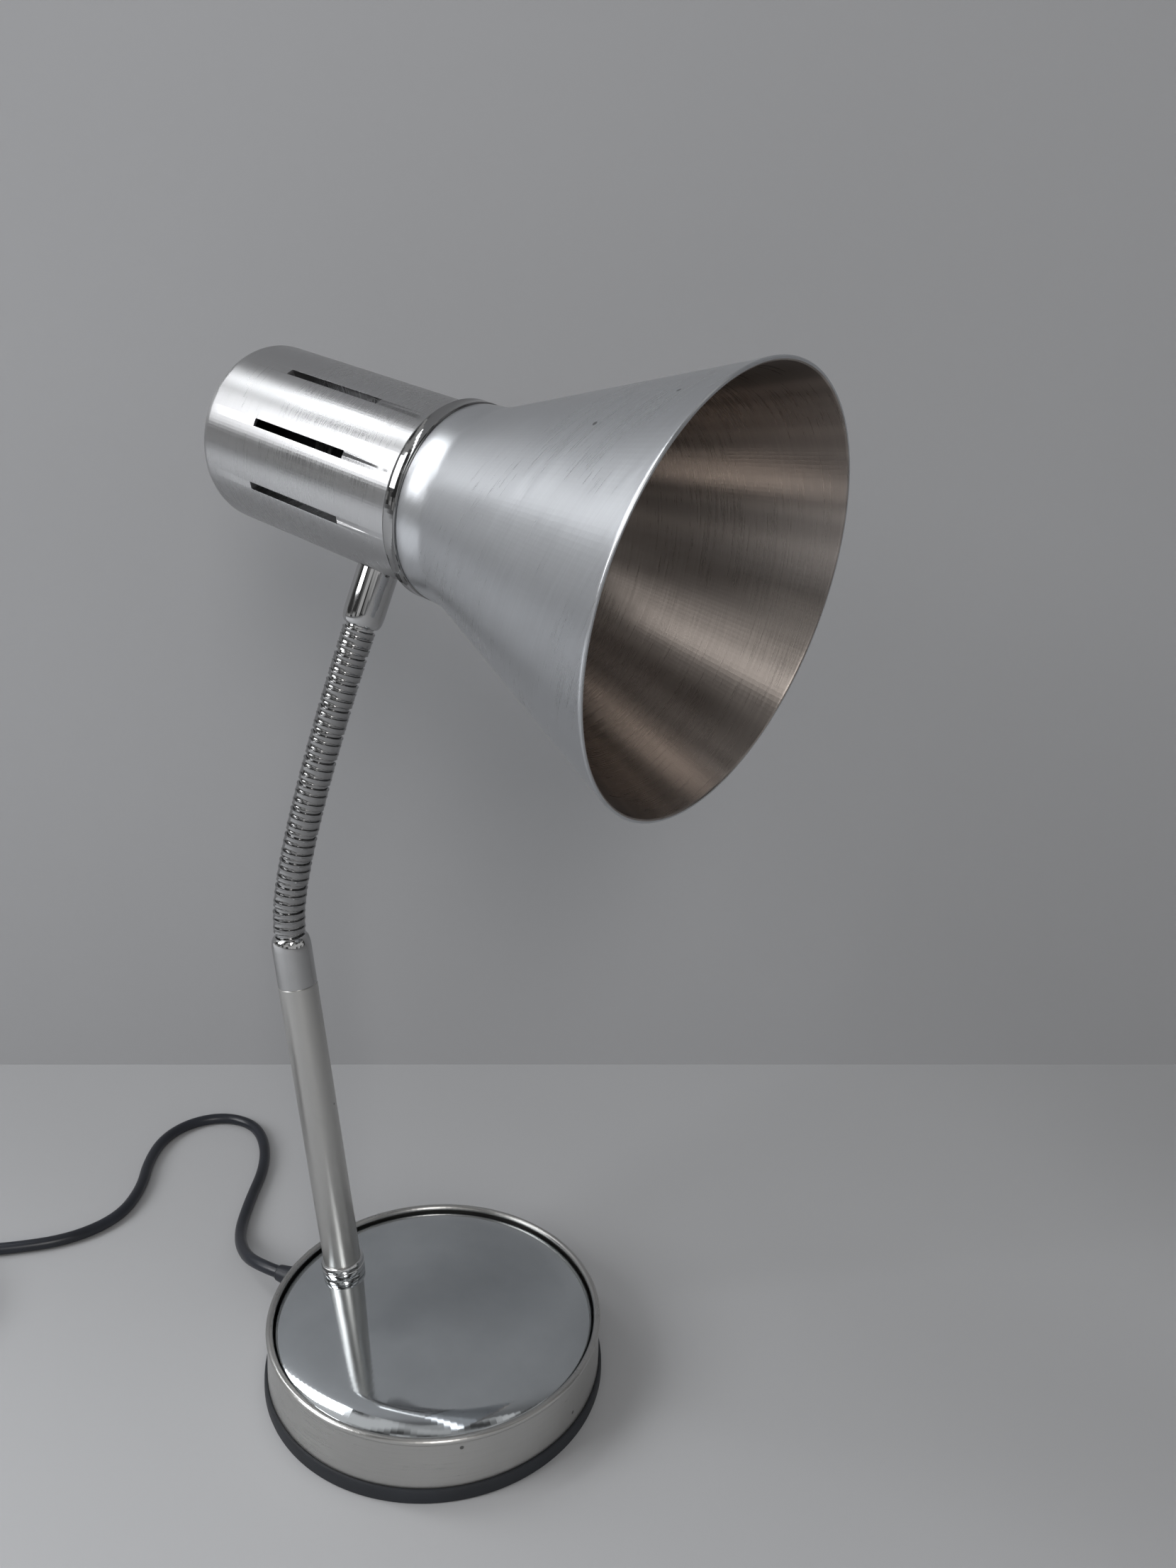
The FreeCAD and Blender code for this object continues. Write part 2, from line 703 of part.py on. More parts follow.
def lamp_housing():
    """The drawn cylinder behind the shade: closed rear with a round edge, vent slots, front flange."""
    bend = CAN_EDGE_R * (1 - math.sqrt(0.5))
    inner_r = CAN_EDGE_R - CAN_WALL
    inner_bend = inner_r * (1 - math.sqrt(0.5))
    wall_r = CAN_R - CAN_WALL
    rear = -CAN_REAR
    floor = rear + CAN_WALL
    body = turned(
        [
            (SWITCH_R + SLIP_GAP, rear),
            (CAN_R - CAN_EDGE_R, rear),
            (CAN_R - bend, rear + bend, CAN_R, rear + CAN_EDGE_R),
            (CAN_R, CAN_FRONT),
            (wall_r - CAN_FLANGE, CAN_FRONT),
            (wall_r - CAN_FLANGE, CAN_FRONT - CAN_WALL),
            (wall_r, CAN_FRONT - CAN_WALL),
            (wall_r, floor + inner_r),
            (wall_r - inner_bend, floor + inner_bend, wall_r - inner_r, floor),
            (SWITCH_R + SLIP_GAP, floor),
        ]
    )
    for angle in SLOT_ANGLES:
        for side in (1, -1):
            corner = Vector(CAN_R / 2, -SLOT_WIDTH / 2, -SLOT_REAR)
            slot = Part.makeBox(CAN_R, SLOT_WIDTH, SLOT_LENGTH, corner)
            slot.rotate(ORIGIN, Z_AXIS, side * angle)
            body = body.cut(slot)
    stud_hole = cylinder(NIPPLE_R + SLIP_GAP, 0, 2 * CAN_R)
    stud_hole.rotate(ORIGIN, Y_AXIS, -90)
    body = body.cut(stud_hole)
    return set_in(body, HEAD_FRAME)


def trim_ring():
    """The polished ring that stands proud between the housing and the shade."""
    low = CAN_FRONT - RING_LAP
    outline = [
        (CAN_R, low),
        (CAN_R + RING_REAR_PROUD - RING_BEVEL, low),
        (CAN_R + RING_REAR_PROUD, low + RING_BEVEL),
        (CAN_R + RING_FRONT_PROUD, SEAM_Z - SEAM),
        (CAN_R - CAN_FLANGE - CAN_WALL, SEAM_Z - SEAM),
        (CAN_R - CAN_FLANGE - CAN_WALL, CAN_FRONT),
        (CAN_R, CAN_FRONT),
    ]
    return set_in(turned(outline), HEAD_FRAME)


def shade():
    """The spun shade: rear web on the ring, short neck, crease, straight cone and rolled lip."""
    lean = math.atan2(SHADE_MOUTH_R - SHADE_CREASE_R, SHADE_LENGTH)
    thick = SHADE_WALL / math.cos(lean)
    web_r = CAN_R - CAN_FLANGE - CAN_WALL - SHADE_WEB
    outline = [
        (web_r, SEAM_Z - SEAM),
        (SHADE_NECK_R - SHADE_NECK_BEVEL, SEAM_Z - SEAM),
        (SHADE_NECK_R, SEAM_Z),
        (SHADE_CREASE_R, CREASE_Z),
        (SHADE_MOUTH_R, MOUTH_Z - LIP_R),
        (SHADE_MOUTH_R - LIP_BEVEL, MOUTH_Z),
        (SHADE_MOUTH_R - thick - LIP_R, MOUTH_Z),
        (SHADE_MOUTH_R - thick - LIP_R, MOUTH_Z - LIP_R),
        (SHADE_CREASE_R - thick, CREASE_Z),
        (SHADE_NECK_R - SHADE_WALL, SEAM_Z + SHADE_WALL - SEAM),
        (web_r, SEAM_Z + SHADE_WALL - SEAM),
    ]
    return set_in(turned(outline), HEAD_FRAME)


def lampholder():
    outline = [
        (HOLDER_WIRE_R, -HOLDER_REAR),
        (HOLDER_R - HOLDER_TAPER, -HOLDER_REAR),
        (HOLDER_R, -HOLDER_REAR + HOLDER_TAPER_LENGTH),
        (HOLDER_R, HOLDER_FRONT),
        (HOLDER_BORE_R, HOLDER_FRONT),
        (HOLDER_BORE_R, -HOLDER_REAR + HOLDER_WALL_REAR),
        (HOLDER_WIRE_R, -HOLDER_REAR + HOLDER_WALL_REAR),
    ]
    body = turned(outline)
    for bar in bracket_screw_bars():
        body = body.cut(bar)
    return set_in(body, HEAD_FRAME)


def holder_clamp():
    low = SEAM_Z + SHADE_WALL - SEAM
    reach = CAN_R - CAN_FLANGE - CAN_WALL - HOLDER_CLAMP_CLEAR
    outline = [
        (HOLDER_R, low),
        (reach, low),
        (reach, low + HOLDER_CLAMP_RIM),
        (HOLDER_CLAMP_R, low + HOLDER_CLAMP_LENGTH),
        (HOLDER_R, low + HOLDER_CLAMP_LENGTH),
    ]
    return set_in(turned(outline), HEAD_FRAME)


def bracket_wall_x():
    """How far the bracket's flat leg lies from the head's axis, with its edges on the round wall."""
    return math.sqrt((CAN_R - CAN_WALL) ** 2 - (BRACKET_WIDTH / 2) ** 2)


def holder_bracket():
    """An angle clamped on the ferrule's stud, whose other leg carries the lampholder."""
    half = BRACKET_WIDTH / 2
    wall_x = bracket_wall_x()
    low = -HOLDER_REAR - BRACKET_THICK
    corner = Vector(-wall_x, -half, low)
    wall_leg = Part.makeBox(BRACKET_THICK, BRACKET_WIDTH, BRACKET_LEG - low, corner)
    holder_leg = Part.makeBox(wall_x + BRACKET_REACH, BRACKET_WIDTH, BRACKET_THICK, corner)
    start = Vector(-wall_x - BRACKET_THICK, 0, 0)
    stud_hole = Part.makeCylinder(NIPPLE_R + SLIP_GAP, 3 * BRACKET_THICK, start, X_AXIS)
    bracket = wall_leg.fuse(holder_leg).cut(stud_hole)
    for bar in bracket_screw_bars():
        bracket = bracket.cut(bar)
    return set_in(bracket, HEAD_FRAME)


def bracket_screw_bars():
    """The two screws' shanks, through the bracket into the rear of the lampholder."""
    bars = []
    for side in (1, -1):
        foot = Vector(side * BRACKET_SCREW_SPACING / 2, 0, -HOLDER_REAR - BRACKET_THICK)
        bars.append(Part.makeCylinder(BRACKET_SCREW_R, BRACKET_THICK + HOLDER_WALL_REAR - 1, foot))
    return bars


def bracket_screws():
    screws = []
    for side, bar in zip((1, -1), bracket_screw_bars()):
        foot = Vector(side * BRACKET_SCREW_SPACING / 2, 0, -HOLDER_REAR - BRACKET_THICK - BRACKET_HEAD)
        head = Part.makeCylinder(2 * BRACKET_SCREW_R, BRACKET_HEAD, foot)
        screws.append(set_in(bar.fuse(head), HEAD_FRAME))
    return Part.makeCompound(screws)


def bulb_cap():
    rear = CAP_REAR_Z
    outline = [
        (0, rear),
        (CAP_TIP_R, rear),
        (CAP_R, rear + CAP_TIP_LENGTH),
        (CAP_R, rear + CAP_LENGTH),
        (BULB_NECK_R, rear + CAP_LENGTH),
        (BULB_NECK_R, rear + CAP_LENGTH - CAP_SOCKET),
        (0, rear + CAP_LENGTH - CAP_SOCKET),
    ]
    return set_in(turned(outline), HEAD_FRAME)


def bulb_glass():
    """A pear-shaped envelope whose neck is cemented into the cap."""
    low = CAP_REAR_Z + CAP_LENGTH - CAP_SOCKET
    neck_z = HOLDER_FRONT + BULB_NECK_PROUD
    globe_z = low + BULB_LENGTH - BULB_R
    globe = Part.makeSphere(BULB_R, Vector(0, 0, globe_z))
    shoulder = math.radians(BULB_SHOULDER)
    outline = [
        (0, low),
        (BULB_NECK_R, low),
        (BULB_NECK_R, neck_z),
        (BULB_R * math.cos(shoulder), globe_z - BULB_R * math.sin(shoulder)),
        (0, globe_z),
    ]
    return set_in(turned(outline).fuse(globe), HEAD_FRAME)


def switch_body():
    rear = -CAN_REAR
    face = rear - SWITCH_NUT_THICK - SWITCH_PROUD
    outline = [
        (BUTTON_R + SLIP_GAP, face),
        (SWITCH_R, face),
        (SWITCH_R, rear + CAN_WALL),
        (SWITCH_R + SWITCH_FLANGE, rear + CAN_WALL),
        (SWITCH_R + SWITCH_FLANGE, rear + SWITCH_DEPTH),
        (0, rear + SWITCH_DEPTH),
        (0, rear + SWITCH_DEPTH - SWITCH_FLOOR),
        (BUTTON_R + SLIP_GAP, rear + SWITCH_DEPTH - SWITCH_FLOOR),
    ]
    return set_in(turned(outline), HEAD_FRAME)


def switch_nut():
    rear = -CAN_REAR
    outline = [
        (SWITCH_R, rear - SWITCH_NUT_THICK),
        (SWITCH_NUT_R - SWITCH_NUT_BEVEL, rear - SWITCH_NUT_THICK),
        (SWITCH_NUT_R, rear - SWITCH_NUT_THICK + SWITCH_NUT_BEVEL),
        (SWITCH_NUT_R, rear),
        (SWITCH_R, rear),
    ]
    return set_in(turned(outline), HEAD_FRAME)


def switch_button():
    face = -CAN_REAR - SWITCH_NUT_THICK - SWITCH_PROUD
    outline = [
        (0, face - BUTTON_PROUD),
        (BUTTON_R - BUTTON_BEVEL, face - BUTTON_PROUD),
        (BUTTON_R, face - BUTTON_PROUD + BUTTON_BEVEL),
        (BUTTON_R, face + BUTTON_SHANK),
        (0, face + BUTTON_SHANK),
    ]
    return set_in(turned(outline), HEAD_FRAME)


def gland_wall_r():
    """The outer radius of the skirt at the gland's height."""
    return SKIRT_R - (SKIRT_R - SKIRT_TOP_R) * (GLAND_Z - FOOT_SEAT_Z) / (BEAD_Z - FOOT_SEAT_Z)


def cord_gland():
    """The moulded strain relief, tapered towards the cord, with a flange on each side of the wall."""
    outside = gland_wall_r() + GLAND_SLACK
    inside = gland_wall_r() - SKIRT_WALL - GLAND_SLACK
    outline = [
        (0, inside - GLAND_INSIDE),
        (GLAND_R, inside - GLAND_INSIDE),
        (GLAND_FLANGE_R - GLAND_BEVEL, inside),
        (GLAND_R, inside),
        (GLAND_R, outside),
        (GLAND_FLANGE_R, outside),
        (GLAND_FLANGE_R, outside + GLAND_FLANGE),
        (GLAND_FLANGE_R - GLAND_SHOULDER, outside + GLAND_FLANGE + GLAND_SHOULDER),
        (GLAND_TIP_R, outside + GLAND_OUTSIDE),
        (0, outside + GLAND_OUTSIDE),
    ]
    frame = placement(Vector(0, 0, GLAND_Z), X_AXIS * -1, Z_AXIS)
    return set_in(turned(outline), frame)


def cord_exit():
    """The point where the cord leaves the gland."""
    return Vector(-gland_wall_r() - GLAND_SLACK - GLAND_OUTSIDE, 0, GLAND_Z)


def rounded_path(points):
    """Straight runs joined by tangent arcs as large as the runs allow; also gives the arcs' radii."""
    edges = []
    radii = []
    here = points[0]
    for before, corner, after in zip(points, points[1:], points[2:]):
        back = before - corner
        ahead = after - corner
        shorter = min(back.Length, ahead.Length)
        half_turn = (math.pi - back.getAngle(ahead)) / 2
        reach = 0.45 * shorter
        radii.append(reach / math.tan(half_turn))
        start = corner + Vector(back).normalize() * reach
        end = corner + Vector(ahead).normalize() * reach
        middle = middle_of_arc(start, (corner - start).normalize(), end)
        edges.append(Part.LineSegment(here, start).toShape())
        edges.append(Part.Arc(start, middle, end).toShape())
        here = end
    edges.append(Part.LineSegment(here, points[-1]).toShape())
    return edges, radii


def mains_cord():
    """The cord from the gland across the floor to the coil."""
    points = [cord_exit()] + [Vector(*point) for point in CORD_ROUTE] + [COIL_ENTRY]
    edges, radii = rounded_path(points)
    print("cord radii mm:", [round(radius, 1) for radius in radii])
    cord = swept_cord(edges, points[0], points[1] - points[0])
    length = sum(edge.Length for edge in edges)
    area = cord_section_area()
    print("cord length mm:", round(length, 1), "volume ratio:", round(cord.Volume / length / area, 4))
    return cord


def cord_section_area():
    """The area of the flat-sided cord's section."""
    return CORD_SIDES / 2 * (CORD_D / 2) ** 2 * math.sin(2 * math.pi / CORD_SIDES)


def coil_frame():
    """The coil's centre and the angle at which the cord reaches its outer turn."""
    run = COIL_ENTRY - Vector(*CORD_ROUTE[-1])
    inward = math.atan(COIL_PITCH / (2 * math.pi * COIL_OUTER_R))
    first = math.atan2(run.y, run.x) - inward - math.pi / 2
    outward = Vector(math.cos(first), math.sin(first), 0)
    centre = Vector(COIL_ENTRY.x, COIL_ENTRY.y, 0) - outward * COIL_OUTER_R
    return centre, first


def coil_point(turns):
    """A point of the coil's centreline: inwards on the floor, up a layer, then outwards again."""
    centre, first = coil_frame()
    if turns <= COIL_TURNS_IN:
        radius = COIL_OUTER_R - COIL_PITCH * turns
        height = 0.0
    elif turns <= COIL_TURNS_IN + COIL_CLIMB:
        past = turns - COIL_TURNS_IN
        share = past / COIL_CLIMB
        radius = COIL_OUTER_R - COIL_PITCH * (COIL_TURNS_IN + past * (1 - share))
        height = COIL_PITCH * share * share * (3 - 2 * share)
    else:
        radius = COIL_OUTER_R - COIL_PITCH * (COIL_TURNS - turns)
        height = COIL_PITCH
    angle = first + 2 * math.pi * turns
    return centre + Vector(radius * math.cos(angle), radius * math.sin(angle), COIL_LIFT + height)


def coil_direction(turns):
    """The direction of the coil's centreline."""
    step = 0.002
    return (coil_point(turns + step) - coil_point(turns - step)).normalize()


def coil_end():
    """Where the coil's path ends, at the plug, and the direction there."""
    direction = coil_direction(COIL_TURNS)
    direction.z = 0
    direction.normalize()
    end = coil_point(COIL_TURNS) + direction * COIL_EXIT
    end.z = PLUG_HEIGHT / 2
    return end, direction


def coil_path():
    """Quarter turns, each two tangent arcs, and the run to the plug."""
    steps = round(COIL_TURNS * 4)
    stations = [COIL_TURNS * number / steps for number in range(steps + 1)]
    points = [coil_point(turns) for turns in stations]
    directions = [coil_direction(turns) for turns in stations]
    directions[0] = coil_direction(0.002)
    edges = []
    for a, b, p, q in zip(points, points[1:], directions, directions[1:]):
        edges.extend(biarc(a, p, b, q))
    end, direction = coil_end()
    straight = direction * CORD_D
    edges.extend(biarc(points[-1], directions[-1], end - straight, direction))
    edges.append(Part.LineSegment(end - straight, end).toShape())
    return edges, points, directions[0]


def least_gap(edges):
    """The least clear distance between turns, from points along the path."""
    points = []
    along = []
    travelled = 0.0
    for edge in edges:
        count = max(2, int(edge.Length / 3))
        for number in range(count):
            span = edge.LastParameter - edge.FirstParameter
            points.append(edge.valueAt(edge.FirstParameter + span * number / count))
            along.append(travelled + edge.Length * number / count)
        travelled += edge.Length
    least = 1e9
    for first in range(len(points)):
        for second in range(first + 1, len(points)):
            if along[second] - along[first] > 6 * CORD_D:
                least = min(least, (points[second] - points[first]).Length)
    return least - CORD_D, travelled


def cord_coil():
    """The put-away length of the cord, one unbroken flat-sided tube in two layers."""
    edges, points, direction = coil_path()
    gap, length = least_gap(edges)
    coil = swept_cord(edges, points[0], direction)
    ratio = coil.Volume / length / cord_section_area()
    print("coil length mm:", round(length, 1), "least gap mm:", round(gap, 2))
    print("coil volume ratio:", round(ratio, 4))
    return coil


def cord_tie():
    """A flat strap round the coil's bundle."""
    centre, first = coil_frame()
    inner_r = COIL_OUTER_R - COIL_PITCH * COIL_TURNS_IN - CORD_D / 2 - COIL_PITCH / 2
    outer_r = COIL_OUTER_R + CORD_D / 2 + RUNNING_GAP
    low = TIE_THICK
    high = COIL_LIFT + COIL_PITCH + CORD_D / 2 + RUNNING_GAP
    across = outer_r - inner_r
    tall = high - low
    inside = Part.makeBox(across, 2 * TIE_WIDTH, tall, Vector(inner_r, -TIE_WIDTH, low))
    corner = Vector(inner_r - TIE_THICK, -TIE_WIDTH / 2, low - TIE_THICK)
    outside = Part.makeBox(across + 2 * TIE_THICK, TIE_WIDTH, tall + 2 * TIE_THICK, corner)
    strap = outside.cut(inside)
    strap.rotate(ORIGIN, Z_AXIS, TIE_ANGLE)
    strap.translate(centre)
    return strap


def plug_frame():
    """The plug's frame: Z along it from the cord to the pins, X up."""
    end, direction = coil_end()
    return placement(end, direction, Z_AXIS)


def plug_body():
    """A flat two-pin plug, drawn in at the grip, with a tapered tail."""
    half = PLUG_WIDTH / 2
    high = PLUG_HEIGHT / 2
    sections = []
    for share, wide in ((0.0, 0.42), (0.35, 0.78), (1.0, 1.0)):
        z = PLUG_TAIL_LENGTH + (PLUG_LENGTH - PLUG_TAIL_LENGTH) * share
        w = half * wide
        c = high * 0.45
        corners = [
            Vector(high, w - c, z),
            Vector(high - c, w, z),
            Vector(-high + c, w, z),
            Vector(-high, w - c, z),
            Vector(-high, -w + c, z),
            Vector(-high + c, -w, z),
            Vector(high - c, -w, z),
            Vector(high, -w + c, z),
        ]
        sections.append(Part.makePolygon(corners + corners[:1]))
    grip = Part.makeLoft(sections, True, True)
    tail = Part.makeCone(PLUG_TAIL_R, PLUG_TAIL_R + PLUG_TAIL_GROWTH, PLUG_TAIL_LENGTH + RUNNING_GAP)
    return set_in(grip.fuse(tail), plug_frame())


def plug_pins():
    pins = []
    for side in (1, -1):
        pin = Part.makeCylinder(PIN_R, PIN_LENGTH, Vector(0, side * PIN_SPACING / 2, PLUG_LENGTH))
        pins.append(set_in(pin, plug_frame()))
    return Part.makeCompound(pins)


PIECES = {
    "rubber_foot": rubber_foot,
    "base_skirt": base_skirt,
    "base_dome": base_dome,
    "ballast": ballast,
    "base_plate": base_plate,
    "base_screws": base_screws,
    "stem_tube": stem_tube,
    "stem_collar": stem_collar,
    "stem_nipple": stem_nipple,
    "stem_washer": stem_washer,
    "stem_nut": stem_nut,
    "lower_ferrule": lower_ferrule,
    "upper_ferrule": upper_ferrule,
    "ferrule_nut": ferrule_nut,
    "lamp_housing": lamp_housing,
    "trim_ring": trim_ring,
    "shade": shade,
    "lampholder": lampholder,
    "holder_clamp": holder_clamp,
    "holder_bracket": holder_bracket,
    "bracket_screws": bracket_screws,
    "bulb_cap": bulb_cap,
    "bulb_glass": bulb_glass,
    "switch_body": switch_body,
    "switch_nut": switch_nut,
    "switch_button": switch_button,
    "cord_gland": cord_gland,
    "mains_cord": mains_cord,
    "cord_coil": cord_coil,
    "cord_tie": cord_tie,
    "plug_body": plug_body,
    "plug_pins": plug_pins,
}


def neck_links():
    """All links of the gooseneck, each set between two pivots of the centreline."""
    pivots = neck_joints()
    links = {}
    for number, (low, high) in enumerate(zip(pivots, pivots[1:]), start=1):
        link = neck_link((high - low).Length)
        links["neck_link_%02d" % number] = set_in(link, placement(low, high - low, X_AXIS))
    return links


def build():
    """Every piece by the name of its file."""
    shapes = {name: make() for name, make in PIECES.items()}
    shapes.update(neck_links())
    return shapes


os.makedirs("parts", exist_ok=True)
for name, shape in build().items():
    if not shape.isValid():
        print("not valid:", name)
    shape.exportStep("parts/%s.step" % name)
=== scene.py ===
import json
import math

import bpy
from mathutils import Matrix, Vector

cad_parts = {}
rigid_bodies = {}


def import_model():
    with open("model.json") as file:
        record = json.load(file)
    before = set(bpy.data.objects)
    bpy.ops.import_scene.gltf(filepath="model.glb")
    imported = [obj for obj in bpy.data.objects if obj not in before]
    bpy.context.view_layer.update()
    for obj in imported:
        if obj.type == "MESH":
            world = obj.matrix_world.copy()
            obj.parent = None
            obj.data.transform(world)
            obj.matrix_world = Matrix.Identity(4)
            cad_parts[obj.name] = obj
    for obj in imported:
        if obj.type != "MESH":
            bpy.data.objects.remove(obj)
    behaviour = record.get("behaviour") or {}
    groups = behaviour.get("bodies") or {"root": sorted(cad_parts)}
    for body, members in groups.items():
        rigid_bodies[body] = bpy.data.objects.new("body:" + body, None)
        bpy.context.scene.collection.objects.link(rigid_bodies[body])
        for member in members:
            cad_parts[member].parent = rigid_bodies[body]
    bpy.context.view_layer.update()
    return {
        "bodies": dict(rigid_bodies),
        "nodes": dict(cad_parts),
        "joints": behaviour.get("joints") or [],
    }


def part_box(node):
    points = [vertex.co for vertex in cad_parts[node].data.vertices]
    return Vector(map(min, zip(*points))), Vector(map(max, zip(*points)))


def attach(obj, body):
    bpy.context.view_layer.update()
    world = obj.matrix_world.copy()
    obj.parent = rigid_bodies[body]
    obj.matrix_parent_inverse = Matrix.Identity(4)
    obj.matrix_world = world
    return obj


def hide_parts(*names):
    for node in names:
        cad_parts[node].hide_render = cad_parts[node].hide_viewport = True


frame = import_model()

bl_info = {
    "name": "Gooseneck Desk Lamp",
    "version": (1, 0, 0),
    "blender": (4, 5, 0),
    "location": "View3D > Sidebar > Desk Lamp",
    "description": "Models and finishes a metal desk lamp with a bendable neck, around its packed CAD parts",
    "category": "Add Mesh",
}

MM = 0.001

# Faces round the pieces that need fewer or more than the usual turning steps
SMALL_STEPS = 64
TUBE_STEPS = 96
HOUSING_STEPS = 192
SHADE_STEPS = 240

JOINTS = {joint["name"]: joint for joint in frame["joints"]}
LINK_COUNT = sum(name.startswith("link_") for name in frame["bodies"])

# The photograph's camera; the image's height and the focus are in pixels
IMAGE_HEIGHT = 2212
CAMERA_FOCUS = 1750
SENSOR_HEIGHT = 36.0
CAMERA_PLACE = Vector((0.2221, -0.3737, 0.40696))
CAMERA_PITCH = math.radians(18.13)
CAMERA_ROLL = math.radians(2.57)
CAMERA_YAW = math.radians(-23.5)

# The floor and the backdrop, in metres
STAGE_WIDTH = 8
BACKDROP_PLACE = (2.90, 1.845, 4.0)
BACKDROP_TURN = math.radians(28.4)
LIGHT_TARGET = Vector((0, 0, 0.2))

# The cord's route on the floor, from the gland to the coil
CORD_ROUTE = [
    (-0.0950, 0.0000, 0.0155),
    (-0.1100, 0.0090, 0.0095),
    (-0.1260, 0.0250, 0.0036),
    (-0.1380, 0.0480, 0.0028),
    (-0.1490, 0.0740, 0.0028),
    (-0.1640, 0.0930, 0.0028),
    (-0.1800, 0.1030, 0.0028),
    (-0.1980, 0.1010, 0.0028),
    (-0.2105, 0.0880, 0.0028),
    (-0.2135, 0.0700, 0.0028),
    (-0.2060, 0.0500, 0.0028),
    (-0.1930, 0.0310, 0.0028),
    (-0.1860, 0.0090, 0.0028),
    (-0.1940, -0.0140, 0.0028),
    (-0.2140, -0.0320, 0.0028),
    (-0.2380, -0.0490, 0.0034),
]

# The coil of two layers at its end, and the cord's way out of it to the plug
COIL_ENTRY = Vector((-0.257, -0.064, 0.0034))
COIL_OUTER_R = 0.0434
COIL_PITCH = 0.0063
COIL_TURNS_IN = 3.375
COIL_CLIMB = 0.5
COIL_EXIT = 0.030
COIL_EXIT_SHARES = (0.4, 0.75, 1.0)
LEVEL_SHARE = 0.75
PLUG_HEIGHT = 0.014
POINTS_PER_TURN = 16

# The base, in millimetres
FOOT_R = 71.6
FOOT_HEIGHT = 6.2
SEAT_HEIGHT = 4.2
TRAY_R = 59.6
TRAY_FLOOR = 2.0
SKIRT_FOOT_R = 70.2
SKIRT_WALL = 0.8
BEAD_CENTRE = (68.78, 27.2)
BEAD_R = 1.45

# The neck and its ferrules, in millimetres; the points of a ferrule's nose are given by radius and
# distance from the joint, and a rib's by how far they lie inside the neck's radius and how far from
# the rib's lower or upper end
BALL_R = 5.5
SOCKET_R = 5.8
NECK_BORE_R = 3.6
FERRULE_NOSE = [(6.3, 0.8), (6.6, 0.9), (6.95, 1.2), (7.45, 2.0), (7.75, 3.2), (7.93, 4.6), (8.0, 6.2)]
FERRULE_LENGTH = 22.4
FERRULE_REACH = 23.3
RIB_GAP = 0.25
LINK_GAP = 0.8
RIB_LOW = ((0.85, 0.0), (0.3, 0.04), (0.12, 0.22), (0.2, 0.5))
RIB_HIGH = ((0.2, 0.95), (0.08, 0.7), (0.0, 0.45), (0.05, 0.2), (0.3, 0.04), (0.85, 0.0))

# The head along its own axis, in millimetres from the neck's line; the points of the shade's lip are
# given by how far they lie inside the mouth's radius and behind the front, and a vent by its depth,
# width and length
HOUSING_REAR = -77.3
HOUSING_FRONT = 26.0
HOUSING_EDGE_R = 5.0
HOUSING_WALL = 1.0
BUTTON_BORE_R = 6.1
VENT_ANGLES = (47, 87, 127)
VENT_MIDDLE = -24.9
VENT_SIZE = (12, 3, 47)
RING_REAR = 24.6
SEAM = 30.6
SHADE_BORE_R = 28.2
SHADE_FRONT = 143.8
SHADE_LIP_OUTSIDE = ((0.5, 1.6), (0.05, 0.9), (0.0, 0.4), (0.3, 0.05))
SHADE_LIP_INSIDE = ((1.0, 0.0), (1.5, 0.3), (1.75, 0.9), (1.9, 1.8))
BULB_CENTRE = 55.5
BULB_R = 22.5


def placed(origin, axis, up):
    """The matrix of a frame at origin whose Z runs along axis and whose X leans towards up."""
    z = axis.normalized()
    x = (up - z * up.dot(z)).normalized()
    y = z.cross(x)
    turn = Matrix((x, y, z)).transposed().to_4x4()
    return Matrix.Translation(origin) @ turn


def pivot(number):
    """The place of one of the neck's joints, counted from the stem."""
    kind = "fore" if number % 2 == 0 else "side"
    return Vector(JOINTS["bend_%s_%02d" % (kind, number)]["pos_m"])


BASE_FRAME = Matrix.Identity(4)
NECK_FOOT = pivot(0)
NECK_TOP = pivot(LINK_COUNT)
HEAD_AXIS = Vector(JOINTS["switch_press"]["axis"]).normalized()
BUTTON_PLACE = Vector(JOINTS["switch_press"]["pos_m"])
HEAD_CENTRE = BUTTON_PLACE + HEAD_AXIS * HEAD_AXIS.dot(NECK_TOP - BUTTON_PLACE)
HEAD_UP = (HEAD_CENTRE - NECK_TOP).normalized()
HEAD_FRAME = placed(HEAD_CENTRE, HEAD_AXIS, HEAD_UP)
FERRULE_FRAME = placed(NECK_TOP, HEAD_UP, HEAD_AXIS)


